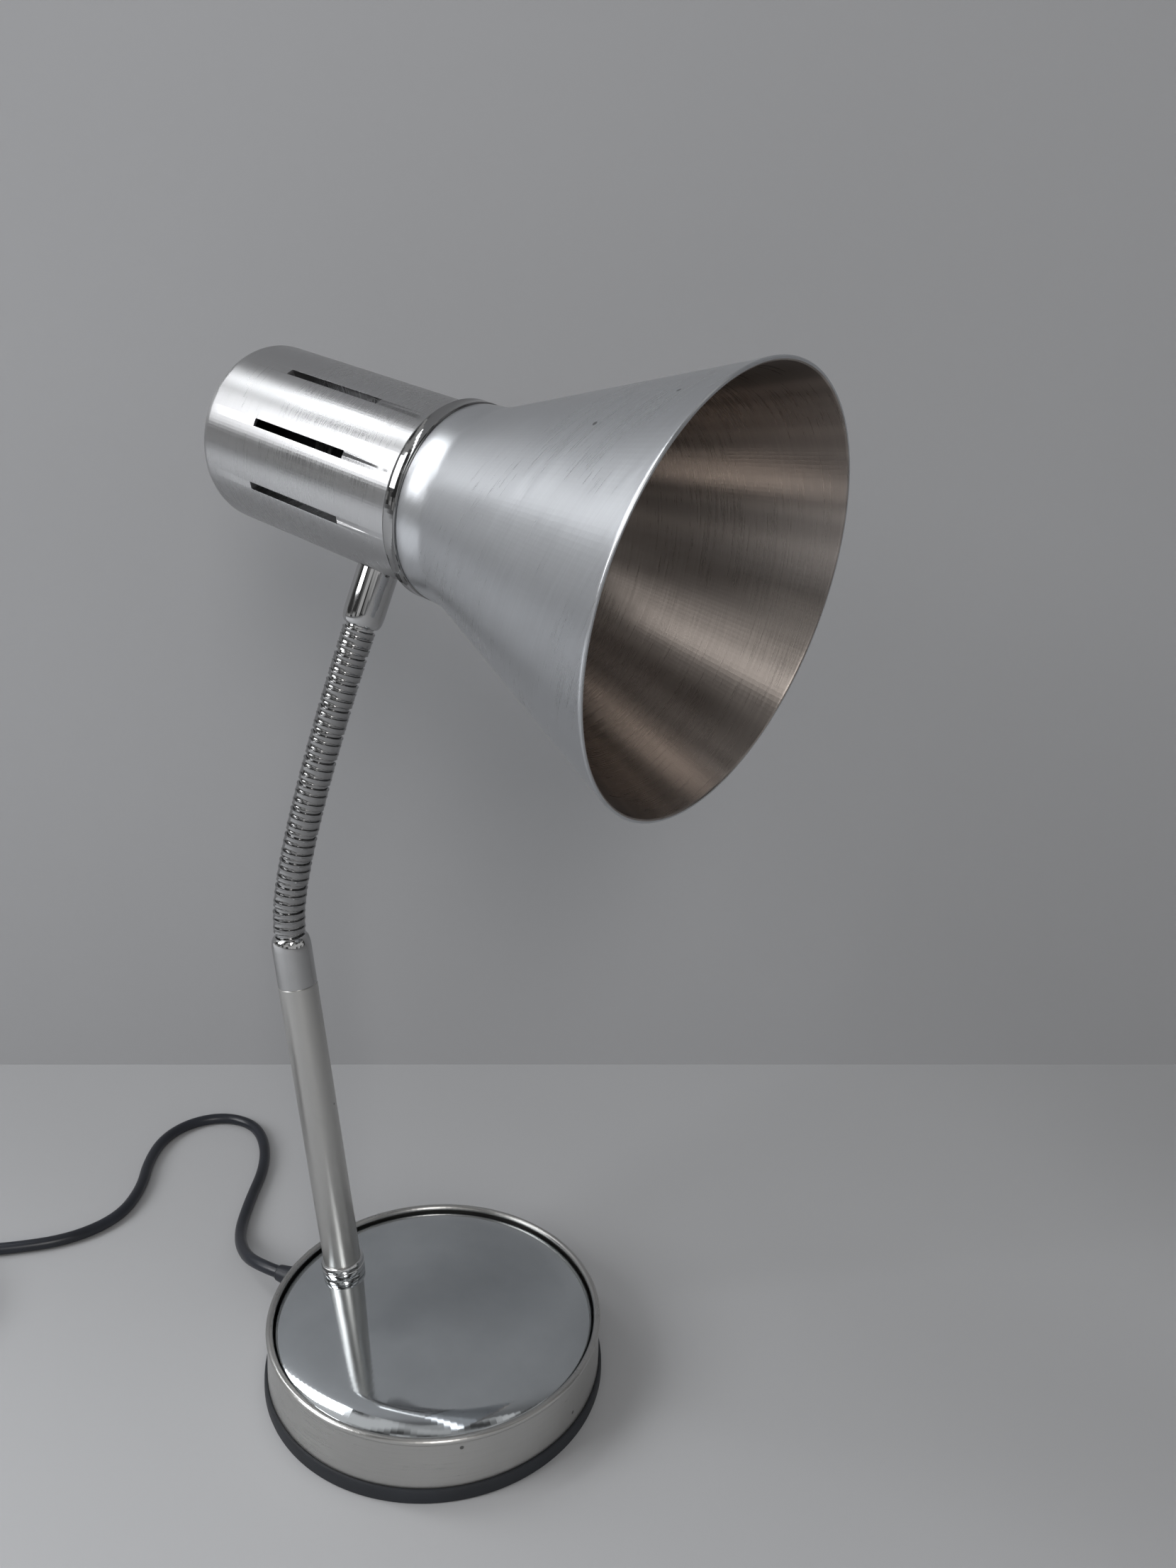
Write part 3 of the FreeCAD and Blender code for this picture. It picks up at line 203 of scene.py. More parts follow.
class LampSizes(bpy.types.PropertyGroup):
    """Sizes and counts that a user may change; the sizes are in metres."""

    dome_height: bpy.props.FloatProperty(
        name="Dome Height", description="Height of the dome's middle", default=0.0349, unit="LENGTH"
    )
    dome_radius: bpy.props.FloatProperty(
        name="Dome Curve", description="Radius of the dome's curve", default=0.32, unit="LENGTH"
    )
    stem_foot: bpy.props.FloatProperty(
        name="Stem Offset", description="From the base's middle to the stem", default=0.0467, unit="LENGTH"
    )
    stem_radius: bpy.props.FloatProperty(
        name="Stem Radius", description="Outer radius of the stem", default=0.008, unit="LENGTH"
    )
    neck_radius: bpy.props.FloatProperty(
        name="Neck Radius", description="Radius over the neck's ribs", default=0.00652, unit="LENGTH"
    )
    ribs_per_link: bpy.props.IntProperty(
        name="Ribs per Link", description="Ribs on one rigid length of the neck", default=3, min=1
    )
    housing_radius: bpy.props.FloatProperty(
        name="Housing Radius", description="Outer radius of the housing", default=0.0346, unit="LENGTH"
    )
    shade_mouth: bpy.props.FloatProperty(
        name="Shade Mouth", description="Radius of the shade's open end", default=0.0768, unit="LENGTH"
    )
    cord_diameter: bpy.props.FloatProperty(
        name="Cord Diameter", description="Diameter of the mains cord", default=0.0055, unit="LENGTH"
    )
    turning_steps: bpy.props.IntProperty(
        name="Turning Steps", description="Faces round a large turned piece", default=160, min=32
    )


class LampColours(bpy.types.PropertyGroup):
    """Base colours of the lamp's finishes."""

    shade: bpy.props.FloatVectorProperty(
        name="Shade", description="Satin aluminium", subtype="COLOR", default=(0.63, 0.645, 0.665)
    )
    # Painted shade and reflection: darker and browner than the outside, for the cone's inside and the warm
    # surroundings it mirrors
    lining: bpy.props.FloatVectorProperty(
        name="Lining", description="Brushed inner side", subtype="COLOR", default=(0.42, 0.375, 0.345)
    )
    housing: bpy.props.FloatVectorProperty(
        name="Housing", description="Brushed housing", subtype="COLOR", default=(0.5, 0.5, 0.505)
    )
    polished: bpy.props.FloatVectorProperty(
        name="Polished Steel", description="The dome's mirror", subtype="COLOR", default=(0.6, 0.63, 0.65)
    )
    chrome: bpy.props.FloatVectorProperty(
        name="Chrome", description="Ferrules, collar and ring", subtype="COLOR", default=(0.6, 0.6, 0.6)
    )
    satin: bpy.props.FloatVectorProperty(
        name="Satin Steel", description="Stem and skirt", subtype="COLOR", default=(0.53, 0.525, 0.51)
    )
    rubber: bpy.props.FloatVectorProperty(
        name="Rubber", description="Foot tray", subtype="COLOR", default=(0.012, 0.014, 0.018)
    )
    cord: bpy.props.FloatVectorProperty(
        name="Cord", description="Cord, gland and plug", subtype="COLOR", default=(0.012, 0.014, 0.02)
    )
    floor: bpy.props.FloatVectorProperty(
        name="Floor", description="Plain pale floor", subtype="COLOR", default=(0.5, 0.505, 0.515)
    )
    backdrop: bpy.props.FloatVectorProperty(
        name="Backdrop", description="Plain grey backdrop", subtype="COLOR", default=(0.4, 0.404, 0.415)
    )


def stem_foot_point(context):
    """The point of the dome's surface on the stem's axis."""
    sizes = context.scene.lamp_sizes
    lean = math.asin(sizes.stem_foot / sizes.dome_radius)
    height = sizes.dome_height - sizes.dome_radius * (1 - math.cos(lean))
    return Vector((-sizes.stem_foot, 0, height))


def stem_frame(context):
    """The stem's own frame, with Z up along it."""
    foot = stem_foot_point(context)
    return placed(foot, NECK_FOOT - foot, Vector((1, 0, 0)))


# Materials

# How fine the noise and the specks are, and the depth of fine grain in metres
WEAR_SCALE = 22.0
WIPE_SCALE = 30.0
WAVE_SCALE = 60.0
MOULD_SCALE = 40.0
FROST_SCALE = 25.0
SURROUNDINGS_SCALE = 3.2
FAN_SCALE = 3.1
SATIN_SPECK_SCALE = 160.0
MIRROR_SPECK_SCALE = 130.0
GRAIN_DEPTH = 0.0002


def add(tree, kind, inputs=None, **settings):
    """A node with its settings; an input is a value or another node's output."""
    made = tree.nodes.new(kind)
    for key, value in settings.items():
        setattr(made, key, value)
    for key, value in (inputs or {}).items():
        if isinstance(value, bpy.types.NodeSocket):
            tree.links.new(value, made.inputs[key])
        else:
            made.inputs[key].default_value = value
    return made


def maths(tree, operation, first, second=0.0):
    """The output of one Math node."""
    return add(tree, "ShaderNodeMath", {0: first, 1: second}, operation=operation).outputs[0]


def ramp(tree, value, low, high, out_low=0.0, out_high=1.0):
    """A value taken from one range to another and held inside it."""
    inputs = {"Value": value, "From Min": low, "From Max": high, "To Min": out_low, "To Max": out_high}
    return add(tree, "ShaderNodeMapRange", inputs, clamp=True).outputs["Result"]


def noise(tree, vector, scale, detail=3.0, roughness=0.55):
    """The value of a noise pattern."""
    inputs = {"Vector": vector, "Scale": scale, "Detail": detail, "Roughness": roughness}
    return add(tree, "ShaderNodeTexNoise", inputs).outputs["Fac"]


def start_material(name):
    """A new material with an output and a Principled shader."""
    material = bpy.data.materials.new(name)
    material.use_nodes = True
    tree = material.node_tree
    tree.nodes.clear()
    shader = add(tree, "ShaderNodeBsdfPrincipled")
    add(tree, "ShaderNodeOutputMaterial", {"Surface": shader.outputs["BSDF"]})
    return material, tree, shader


def own_coordinates(tree, place):
    """Coordinates of a frame in the lamp: its X, Y and Z in metres."""
    where = add(tree, "ShaderNodeTexCoord").outputs["Object"]
    mapping = add(tree, "ShaderNodeMapping", {"Vector": where}, vector_type="TEXTURE")
    mapping.inputs["Location"].default_value = place.to_translation()
    mapping.inputs["Rotation"].default_value = place.to_euler()
    return mapping.outputs["Vector"]


def grain_vector(tree, place, round_scale, along_scale, skew=0.0):
    """A vector whose noise draws streaks round a frame's Z; skew tilts them into a spiral."""
    local = own_coordinates(tree, place)
    split = add(tree, "ShaderNodeSeparateXYZ", {"Vector": local})
    angle = maths(tree, "ARCTAN2", split.outputs["Y"], split.outputs["X"])
    outward = add(tree, "ShaderNodeVectorMath", {0: local}, operation="NORMALIZE").outputs[0]
    parts = add(tree, "ShaderNodeSeparateXYZ", {"Vector": outward})
    across = maths(tree, "MULTIPLY", parts.outputs["X"], round_scale)
    beside = maths(tree, "MULTIPLY", parts.outputs["Y"], round_scale)
    tilt = maths(tree, "MULTIPLY", angle, skew)
    along = maths(tree, "MULTIPLY", maths(tree, "ADD", split.outputs["Z"], tilt), along_scale)
    return add(tree, "ShaderNodeCombineXYZ", {"X": across, "Y": beside, "Z": along}).outputs[0]


def fan_vector(tree, place):
    """A vector that changes only round a frame's Z, whose noise draws the painted reflection bands that
    spread like a fan.
    """
    local = own_coordinates(tree, place)
    flat = add(tree, "ShaderNodeVectorMath", {0: local, 1: (1, 1, 0)}, operation="MULTIPLY").outputs[0]
    level = add(tree, "ShaderNodeVectorMath", {0: flat}, operation="NORMALIZE").outputs[0]
    scale = (FAN_SCALE,) * 3
    return add(tree, "ShaderNodeVectorMath", {0: level, 1: scale}, operation="MULTIPLY").outputs[0]


def along_axis(tree, direction):
    """A tangent along a fixed direction of the piece, turning with it."""
    vector = add(tree, "ShaderNodeCombineXYZ", dict(zip("XYZ", direction))).outputs[0]
    settings = {"vector_type": "VECTOR", "convert_from": "OBJECT", "convert_to": "WORLD"}
    return add(tree, "ShaderNodeVectorTransform", {"Vector": vector}, **settings).outputs[0]


def specks(tree, vector, scale, share):
    """Small round marks: 1 on a speck and 0 elsewhere."""
    cells = add(tree, "ShaderNodeTexVoronoi", {"Vector": vector, "Scale": scale})
    chance = add(tree, "ShaderNodeSeparateColor", {"Color": cells.outputs["Color"]}).outputs[0]
    chosen = maths(tree, "LESS_THAN", chance, share)
    near = ramp(tree, cells.outputs["Distance"], 0.10, 0.16, 1.0, 0.0)
    return maths(tree, "MULTIPLY", chosen, near)


def mix_colour(tree, factor, first, second):
    """One colour over another; in colour mode the inputs are 0, 6 and 7 and the output is 2."""
    node = add(tree, "ShaderNodeMix", data_type="RGBA")
    for index, value in ((0, factor), (6, first), (7, second)):
        if isinstance(value, bpy.types.NodeSocket):
            tree.links.new(value, node.inputs[index])
        else:
            node.inputs[index].default_value = value if index == 0 else tuple(value)[:3] + (1.0,)
    return node.outputs[2]


def shaded(colour, factor):
    """A colour made darker or lighter."""
    return tuple(min(1.0, part * factor) for part in colour[:3])


def brushed_metal(
    name, colour, place, roughness, grain, anisotropy, contrast, relief, marks=0.02, skew=0.0, painted_reflection_fans=0.0
):
    """Satin metal with fine streaks round the frame's axis and faint cloudy wear.

    grain is how fine the noise is round the axis and along it, marks the share of specks, and
    painted_reflection_fans the strength of the painted reflection: light and dark bands along the axis.
    """
    material, tree, shader = start_material(name)
    vector = grain_vector(tree, place, grain[0], grain[1], skew)
    fine = noise(tree, vector, 1.0, 5.0, 0.72)
    where = add(tree, "ShaderNodeTexCoord").outputs["Object"]
    cloud = noise(tree, where, WEAR_SCALE, 3.0)
    speck = specks(tree, where, SATIN_SPECK_SCALE, marks)
    low = shaded(colour, 1 - contrast)
    streaks = mix_colour(tree, ramp(tree, fine, 0.3, 0.7), low, shaded(colour, 1 + contrast))
    # Painted reflection: light and dark fan bands along the axis stand in for the brushing's highlights and
    # shade
    if painted_reflection_fans:
        fan = noise(tree, fan_vector(tree, place), 1.0, 2.0, 0.6)
        streaks = mix_colour(tree, ramp(tree, fan, 0.38, 0.66, painted_reflection_fans, 0.0), streaks, shaded(colour, 0.35))
        light = ramp(tree, fan, 0.52, 0.72, 0.0, painted_reflection_fans)
        streaks = mix_colour(tree, light, streaks, shaded(colour, 1.6))
    worn = mix_colour(tree, ramp(tree, cloud, 0.35, 0.7, 0.0, 0.25), streaks, shaded(colour, 0.86))
    marked = mix_colour(tree, speck, worn, shaded(colour, 0.3))
    shader.inputs["Metallic"].default_value = 1.0
    shader.inputs["Anisotropic"].default_value = anisotropy
    tree.links.new(marked, shader.inputs["Base Color"])
    rough = maths(tree, "ADD", ramp(tree, fine, 0.25, 0.75, -0.05, 0.06), roughness)
    rough = maths(tree, "ADD", rough, ramp(tree, cloud, 0.3, 0.7, -0.03, 0.04))
    tree.links.new(rough, shader.inputs["Roughness"])
    direction = place.to_3x3() @ Vector((0, 0, 1))
    tree.links.new(along_axis(tree, direction), shader.inputs["Tangent"])
    bump = add(tree, "ShaderNodeBump", {"Height": fine, "Strength": relief, "Distance": GRAIN_DEPTH})
    tree.links.new(bump.outputs["Normal"], shader.inputs["Normal"])
    return material


def polished_metal(name, colour, roughness, marks, haze=0.06):
    """Mirror metal with faint waviness, haze where it was wiped and a few dark specks."""
    material, tree, shader = start_material(name)
    where = add(tree, "ShaderNodeTexCoord").outputs["Object"]
    cloud = noise(tree, where, WIPE_SCALE, 4.0)
    speck = specks(tree, where, MIRROR_SPECK_SCALE, marks)
    tone = mix_colour(tree, ramp(tree, cloud, 0.35, 0.7), shaded(colour, 1.05), shaded(colour, 0.93))
    marked = mix_colour(tree, speck, tone, shaded(colour, 0.12))
    shader.inputs["Metallic"].default_value = 1.0
    tree.links.new(marked, shader.inputs["Base Color"])
    rough = ramp(tree, cloud, 0.35, 0.75, roughness, roughness + haze)
    tree.links.new(rough, shader.inputs["Roughness"])
    wave = noise(tree, where, WAVE_SCALE, 1.0)
    relief = add(tree, "ShaderNodeBump", {"Height": wave, "Strength": 0.03, "Distance": 0.001})
    tree.links.new(relief.outputs["Normal"], shader.inputs["Normal"])
    return material


def moulded(name, colour, roughness, grain, strength):
    """Rubber or moulded plastic with a fine grain and slightly uneven gloss."""
    material, tree, shader = start_material(name)
    where = add(tree, "ShaderNodeTexCoord").outputs["Object"]
    fine = noise(tree, where, grain, 2.0)
    cloud = noise(tree, where, MOULD_SCALE, 3.0)
    tone = mix_colour(tree, ramp(tree, cloud, 0.3, 0.7), shaded(colour, 0.8), shaded(colour, 1.5))
    tree.links.new(tone, shader.inputs["Base Color"])
    tree.links.new(ramp(tree, cloud, 0.3, 0.7, roughness, roughness + 0.1), shader.inputs["Roughness"])
    relief = add(tree, "ShaderNodeBump", {"Height": fine, "Strength": strength, "Distance": GRAIN_DEPTH})
    tree.links.new(relief.outputs["Normal"], shader.inputs["Normal"])
    return material


def frosted_glass(name):
    """The bulb's white inside coating under clear glass."""
    material, tree, shader = start_material(name)
    where = add(tree, "ShaderNodeTexCoord").outputs["Object"]
    cloud = noise(tree, where, FROST_SCALE, 2.0)
    tone = mix_colour(tree, ramp(tree, cloud, 0.3, 0.7), (0.8, 0.8, 0.77), (0.86, 0.86, 0.84))
    tree.links.new(tone, shader.inputs["Base Color"])
    shader.inputs["Roughness"].default_value = 0.35
    shader.inputs["Coat Weight"].default_value = 0.6
    shader.inputs["Coat Roughness"].default_value = 0.04
    return material


# Modelling


def nothing_selected():
    """Object mode with nothing selected."""
    if bpy.context.mode != "OBJECT":
        bpy.ops.object.mode_set(mode="OBJECT")
    bpy.ops.object.select_all(action="DESELECT")


def only(piece):
    """Selects one object and makes it active."""
    nothing_selected()
    piece.select_set(True)
    bpy.context.view_layer.objects.active = piece


def arc(centre, radius, start, end, steps):
    """Points on a round stretch of an outline; angles in degrees, from the radius towards height."""
    points = []
    for number in range(steps + 1):
        angle = math.radians(start + (end - start) * number / steps)
        points.append((centre[0] + radius * math.cos(angle), centre[1] + radius * math.sin(angle)))
    return points


def turn_outline(name, outline, steps=None, closed=True, smooth=32):
    """Draws an outline of (radius, height) points by extruding a vertex and spins it about Z."""
    sizes = bpy.context.scene.lamp_sizes
    nothing_selected()
    bpy.ops.mesh.primitive_plane_add(size=MM, location=(0, 0, 0))
    piece = bpy.context.object
    piece.name = name
    piece.data.name = name
    bpy.ops.object.mode_set(mode="EDIT")
    bpy.ops.mesh.select_all(action="SELECT")
    bpy.ops.mesh.merge(type="CENTER")
    bpy.ops.transform.translate(value=(outline[0][0], 0, outline[0][1]))
    for (r0, z0), (r1, z1) in zip(outline, outline[1:]):
        step = {"value": (r1 - r0, 0, z1 - z0)}
        bpy.ops.mesh.extrude_region_move(TRANSFORM_OT_translate=step)
    if closed:
        bpy.ops.mesh.select_all(action="SELECT")
        bpy.ops.object.mode_set(mode="OBJECT")
        for vertex in piece.data.vertices:
            vertex.select = vertex.index in (0, len(piece.data.vertices) - 1)
        bpy.ops.object.mode_set(mode="EDIT")
        bpy.ops.mesh.edge_face_add()
    bpy.ops.mesh.select_all(action="SELECT")
    bpy.ops.mesh.spin(
        steps=steps or sizes.turning_steps, angle=2 * math.pi, center=(0, 0, 0), axis=(0, 0, 1)
    )
    bpy.ops.mesh.select_all(action="SELECT")
    bpy.ops.mesh.remove_doubles(threshold=1e-6)
    bpy.ops.mesh.normals_make_consistent(inside=False)
    bpy.ops.object.mode_set(mode="OBJECT")
    bpy.ops.object.shade_smooth_by_angle(angle=math.radians(smooth))
    return piece


def rounded_edges(piece, width, angle=30):
    """Softens the sharp edges of a piece."""
    only(piece)
    bevel = piece.modifiers.new("Edges", "BEVEL")
    bevel.width = width
    bevel.segments = 2
    bevel.limit_method = "ANGLE"
    bevel.angle_limit = math.radians(angle)
    bpy.ops.object.modifier_apply(modifier=bevel.name)
    bpy.ops.object.shade_smooth_by_angle(angle=math.radians(35))


def set_down(piece, place):
    """Puts a piece modelled about its own Z into its frame, with the place in its mesh."""
    piece.matrix_world = place
    only(piece)
    bpy.ops.object.transform_apply(location=True, rotation=True, scale=True)


def finish_piece(piece, body, material, nodes=()):
    """Gives a piece its material and its body, and hides the CAD nodes that it stands for."""
    piece.data.materials.clear()
    piece.data.materials.append(material)
    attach(piece, body)
    if nodes:
        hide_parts(*nodes)
    return piece


def finish_node(node, material):
    """A CAD node that keeps its shape and gets a better material."""
    shown = frame["nodes"][node]
    shown.data.materials.clear()
    shown.data.materials.append(material)


def smooth_copy(node, name, edge=0.0):
    """A copy of a CAD node with its loose triangles merged, shaded smooth and softly edged."""
    nothing_selected()
    copy = frame["nodes"][node].copy()
    copy.data = copy.data.copy()
    copy.parent = None
    for key in list(copy.keys()):
        del copy[key]
    copy.name = name
    copy.data.name = name
    bpy.context.scene.collection.objects.link(copy)
    only(copy)
    bpy.ops.object.mode_set(mode="EDIT")
    bpy.ops.mesh.select_all(action="SELECT")
    bpy.ops.mesh.remove_doubles(threshold=2e-6)
    bpy.ops.mesh.dissolve_limited(angle_limit=math.radians(0.5))
    bpy.ops.object.mode_set(mode="OBJECT")
    if edge:
        rounded_edges(copy, edge)
    bpy.ops.object.shade_smooth_by_angle(angle=math.radians(30))
    return copy


def millimetres(outline):
    """An outline written in millimetres, in metres."""
    return [(radius * MM, height * MM) for radius, height in outline]


FINISHES = {}


class LAMP_OT_finishes(bpy.types.Operator):
    """Makes the lamp's materials"""

    bl_idname = "lamp.finishes"
    bl_label = "Lamp Finishes"

    def execute(self, context):
        tint = context.scene.lamp_colours
        stem_turn = stem_frame(context).to_3x3().to_4x4()
        FINISHES["shade"] = brushed_metal(
            "satin_aluminium",
            tint.shade,
            HEAD_FRAME,
            roughness=0.3,
            grain=(5.0, 1500.0),
            anisotropy=0.45,
            contrast=0.05,
            relief=0.03,
            skew=0.02,
        )
        # The lining's darker, browner colour and its fan bands are painted shade and painted reflection
        FINISHES["lining"] = brushed_metal(
            "brushed_lining_painted_shade",
            tint.lining,
            HEAD_FRAME,
            roughness=0.27,
            grain=(4.0, 1300.0),
            anisotropy=0.85,
            contrast=0.12,
            relief=0.16,
            marks=0.0,
            skew=0.006,
            painted_reflection_fans=0.5,
        )
        FINISHES["housing"] = brushed_metal(
            "brushed_housing",
            tint.housing,
            HEAD_FRAME,
            roughness=0.28,
            grain=(4.0, 1700.0),
            anisotropy=0.7,
            contrast=0.04,
            relief=0.012,
        )
        FINISHES["stem"] = brushed_metal(
            "satin_stem",
            tint.satin,
            stem_turn,
            roughness=0.34,
            grain=(30.0, 20.0),
            anisotropy=0.3,
            contrast=0.02,
            relief=0.004,
            marks=0.01,
        )
        FINISHES["skirt"] = brushed_metal(
            "brushed_skirt",
            tint.satin,
            BASE_FRAME,
            roughness=0.29,
            grain=(4.0, 1900.0),
            anisotropy=0.6,
            contrast=0.05,
            relief=0.02,
            marks=0.04,
        )
        # Painted shade: the neck, trim ring and ferrules get darkened copies of the chrome colour, for the
        # dark surroundings their mirror reflects
        neck_painted_shade = shaded(tint.chrome, 0.55)
        ring_painted_shade = shaded(tint.chrome, 0.5)
        ferrule_painted_shade = shaded(tint.chrome, 0.8)
        plate_tone = shaded(tint.satin, 0.9)
        FINISHES["dome"] = polished_metal("polished_dome", tint.polished, 0.05, 0.012)
        FINISHES["chrome"] = polished_metal("bright_chrome", tint.chrome, 0.05, 0.01, 0.05)
        FINISHES["neck"] = polished_metal("neck_chrome_painted_shade", neck_painted_shade, 0.1, 0.0)
        FINISHES["ring"] = polished_metal("ring_chrome_painted_shade", ring_painted_shade, 0.06, 0.02, 0.04)
        FINISHES["ferrule"] = polished_metal("ferrule_chrome_painted_shade", ferrule_painted_shade, 0.035, 0.0, 0.03)
        FINISHES["plate"] = polished_metal("zinc_plate", plate_tone, 0.32, 0.02, 0.1)
        FINISHES["iron"] = moulded("cast_iron", (0.09, 0.09, 0.09), 0.7, 500.0, 0.4)
        FINISHES["rubber"] = moulded("foot_rubber", tint.rubber, 0.55, 700.0, 0.2)
        FINISHES["black"] = moulded("black_plastic", tint.cord, 0.35, 1200.0, 0.12)
        FINISHES["cord"] = moulded("cord_plastic", tint.cord, 0.3, 1500.0, 0.1)
        FINISHES["brass"] = polished_metal("plain_brass", (0.62, 0.47, 0.22), 0.2, 0.02, 0.1)
        FINISHES["glass"] = frosted_glass("frosted_glass")
        return {"FINISHED"}


class LAMP_OT_stage(bpy.types.Operator):
    """Makes the floor, the backdrop, the lights and the camera"""

    bl_idname = "lamp.stage"
    bl_label = "Stage"

    def execute(self, context):
        tint = context.scene.lamp_colours
        nothing_selected()
        bpy.ops.mesh.primitive_plane_add(size=STAGE_WIDTH, location=(0, 0, 0))
        floor = context.object
        floor.name = "floor"
        floor.data.materials.append(plain_surface("pale_floor", tint.floor))
        bpy.ops.mesh.primitive_plane_add(size=STAGE_WIDTH, location=BACKDROP_PLACE)
        backdrop = context.object
        backdrop.name = "backdrop"
        backdrop.rotation_euler = (math.radians(90), 0, BACKDROP_TURN)
        backdrop.data.materials.append(
            plain_surface("grey_backdrop", tint.backdrop, seen_from_back=False)
        )
        soft_lights(context)
        world = bpy.data.worlds.new("studio")
        world.use_nodes = True
        soft_surroundings(world.node_tree)
        context.scene.world = world
        photo_camera(context)
        context.scene.view_settings.view_transform = "Standard"
        return {"FINISHED"}


def plain_surface(name, colour, seen_from_back=True):
    """A matt floor or backdrop with a barely uneven tone, clear from behind where that is asked."""
    material, tree, shader = start_material(name)
    where = add(tree, "ShaderNodeTexCoord").outputs["Object"]
    cloud = noise(tree, where, 1.5, 2.0)
    tone = mix_colour(tree, ramp(tree, cloud, 0.3, 0.7), shaded(colour, 0.97), shaded(colour, 1.03))
    tree.links.new(tone, shader.inputs["Base Color"])
    shader.inputs["Roughness"].default_value = 0.7
    shader.inputs["Specular IOR Level"].default_value = 0.2
    if not seen_from_back:
        behind = add(tree, "ShaderNodeNewGeometry").outputs["Backfacing"]
        clear = add(tree, "ShaderNodeBsdfTransparent").outputs["BSDF"]
        front = shader.outputs["BSDF"]
        sides = add(tree, "ShaderNodeMixShader", {0: behind, 1: front, 2: clear})
        output = tree.get_output_node("ALL")
        tree.links.new(sides.outputs["Shader"], output.inputs["Surface"])
    return material


def soft_surroundings(tree):
    """Grey surroundings with broad lighter and darker parts, so that polished metal has form."""
    direction = add(tree, "ShaderNodeTexCoord").outputs["Generated"]
    cloud = noise(tree, direction, SURROUNDINGS_SCALE, 1.0)
    level = ramp(tree, cloud, 0.42, 0.6, 0.05, 0.6)
    background = tree.nodes["Background"]
    tree.links.new(level, background.inputs["Color"])
    background.inputs["Strength"].default_value = 1.0


def soft_lights(context):
    """Three large soft lamps, each given by name, place, width and height, watts and colour."""
    lamps = (
        ("light_left", (-1.5, 0.3, 1.7), (1.3, 1.5), 44.0, (0.96, 0.98, 1.0)),
        ("light_front", (-1.3, -1.4, 1.3), (1.0, 1.2), 23.0, (0.97, 0.98, 1.0)),
        ("light_right", (1.3, -1.9, 1.5), (0.6, 1.2), 14.0, (1.0, 0.98, 0.96)),
    )
    for name, place, size, watts, colour in lamps:
        nothing_selected()
        bpy.ops.object.light_add(type="AREA", location=place)
        lamp = context.object
        lamp.name = name
        lamp.data.shape = "RECTANGLE"
        lamp.data.size = size[0]
        lamp.data.size_y = size[1]
        lamp.data.energy = watts
        lamp.data.color = colour
        lamp.rotation_euler = (LIGHT_TARGET - Vector(place)).to_track_quat("-Z", "Y").to_euler()


def photo_camera(context):
    """The camera at the photograph's place and angle."""
    ahead = Vector(
        (
            math.sin(CAMERA_YAW) * math.cos(CAMERA_PITCH),
            math.cos(CAMERA_YAW) * math.cos(CAMERA_PITCH),
            -math.sin(CAMERA_PITCH),
        )
    )
    level = Vector((math.cos(CAMERA_YAW), -math.sin(CAMERA_YAW), 0))
    above = level.cross(ahead)
    right = level * math.cos(CAMERA_ROLL) + above * math.sin(CAMERA_ROLL)
    up = above * math.cos(CAMERA_ROLL) - level * math.sin(CAMERA_ROLL)
    nothing_selected()
    bpy.ops.object.camera_add(location=CAMERA_PLACE)
    camera = context.object
    camera.name = "photo_camera"
    turn = Matrix((right, up, -ahead)).transposed().to_4x4()
    camera.matrix_world = Matrix.Translation(CAMERA_PLACE) @ turn
    camera.data.sensor_fit = "VERTICAL"
    camera.data.sensor_height = SENSOR_HEIGHT
    camera.data.lens = SENSOR_HEIGHT * CAMERA_FOCUS / IMAGE_HEIGHT
    camera.data.clip_start = 0.01
    context.scene.camera = camera


def coil_points():
    """The coil's centreline: inwards on the floor, up a layer, then outwards to the plug."""
    run = COIL_ENTRY - Vector(CORD_ROUTE[-1])
    inward = math.atan(COIL_PITCH / (2 * math.pi * COIL_OUTER_R))
    first = math.atan2(run.y, run.x) - inward - math.pi / 2
    outward = Vector((math.cos(first), math.sin(first), 0))
    centre = COIL_ENTRY - outward * COIL_OUTER_R
    turns = 2 * COIL_TURNS_IN + COIL_CLIMB
    count = round(turns * POINTS_PER_TURN)
    points = []
    for number in range(count + 1):
        at = turns * number / count
        if at <= COIL_TURNS_IN:
            radius = COIL_OUTER_R - COIL_PITCH * at
            lift = 0.0
        elif at <= COIL_TURNS_IN + COIL_CLIMB:
            past = at - COIL_TURNS_IN
            share = past / COIL_CLIMB
            radius = COIL_OUTER_R - COIL_PITCH * (COIL_TURNS_IN + past * (1 - share))
            smooth_rise = share * share * (3 - 2 * share)
            lift = COIL_PITCH * smooth_rise
        else:
            radius = COIL_OUTER_R - COIL_PITCH * (turns - at)
            lift = COIL_PITCH
        angle = first + 2 * math.pi * at
        points.append(centre + Vector((radius * math.cos(angle), radius * math.sin(angle), lift)))
    heading = (points[-1] - points[-2]).normalized()
    for share in COIL_EXIT_SHARES:
        end = points[count] + heading * COIL_EXIT * share
        end.z = points[count].z + (PLUG_HEIGHT / 2 - points[count].z) * min(1.0, share / LEVEL_SHARE)
        points.append(end)
    return points


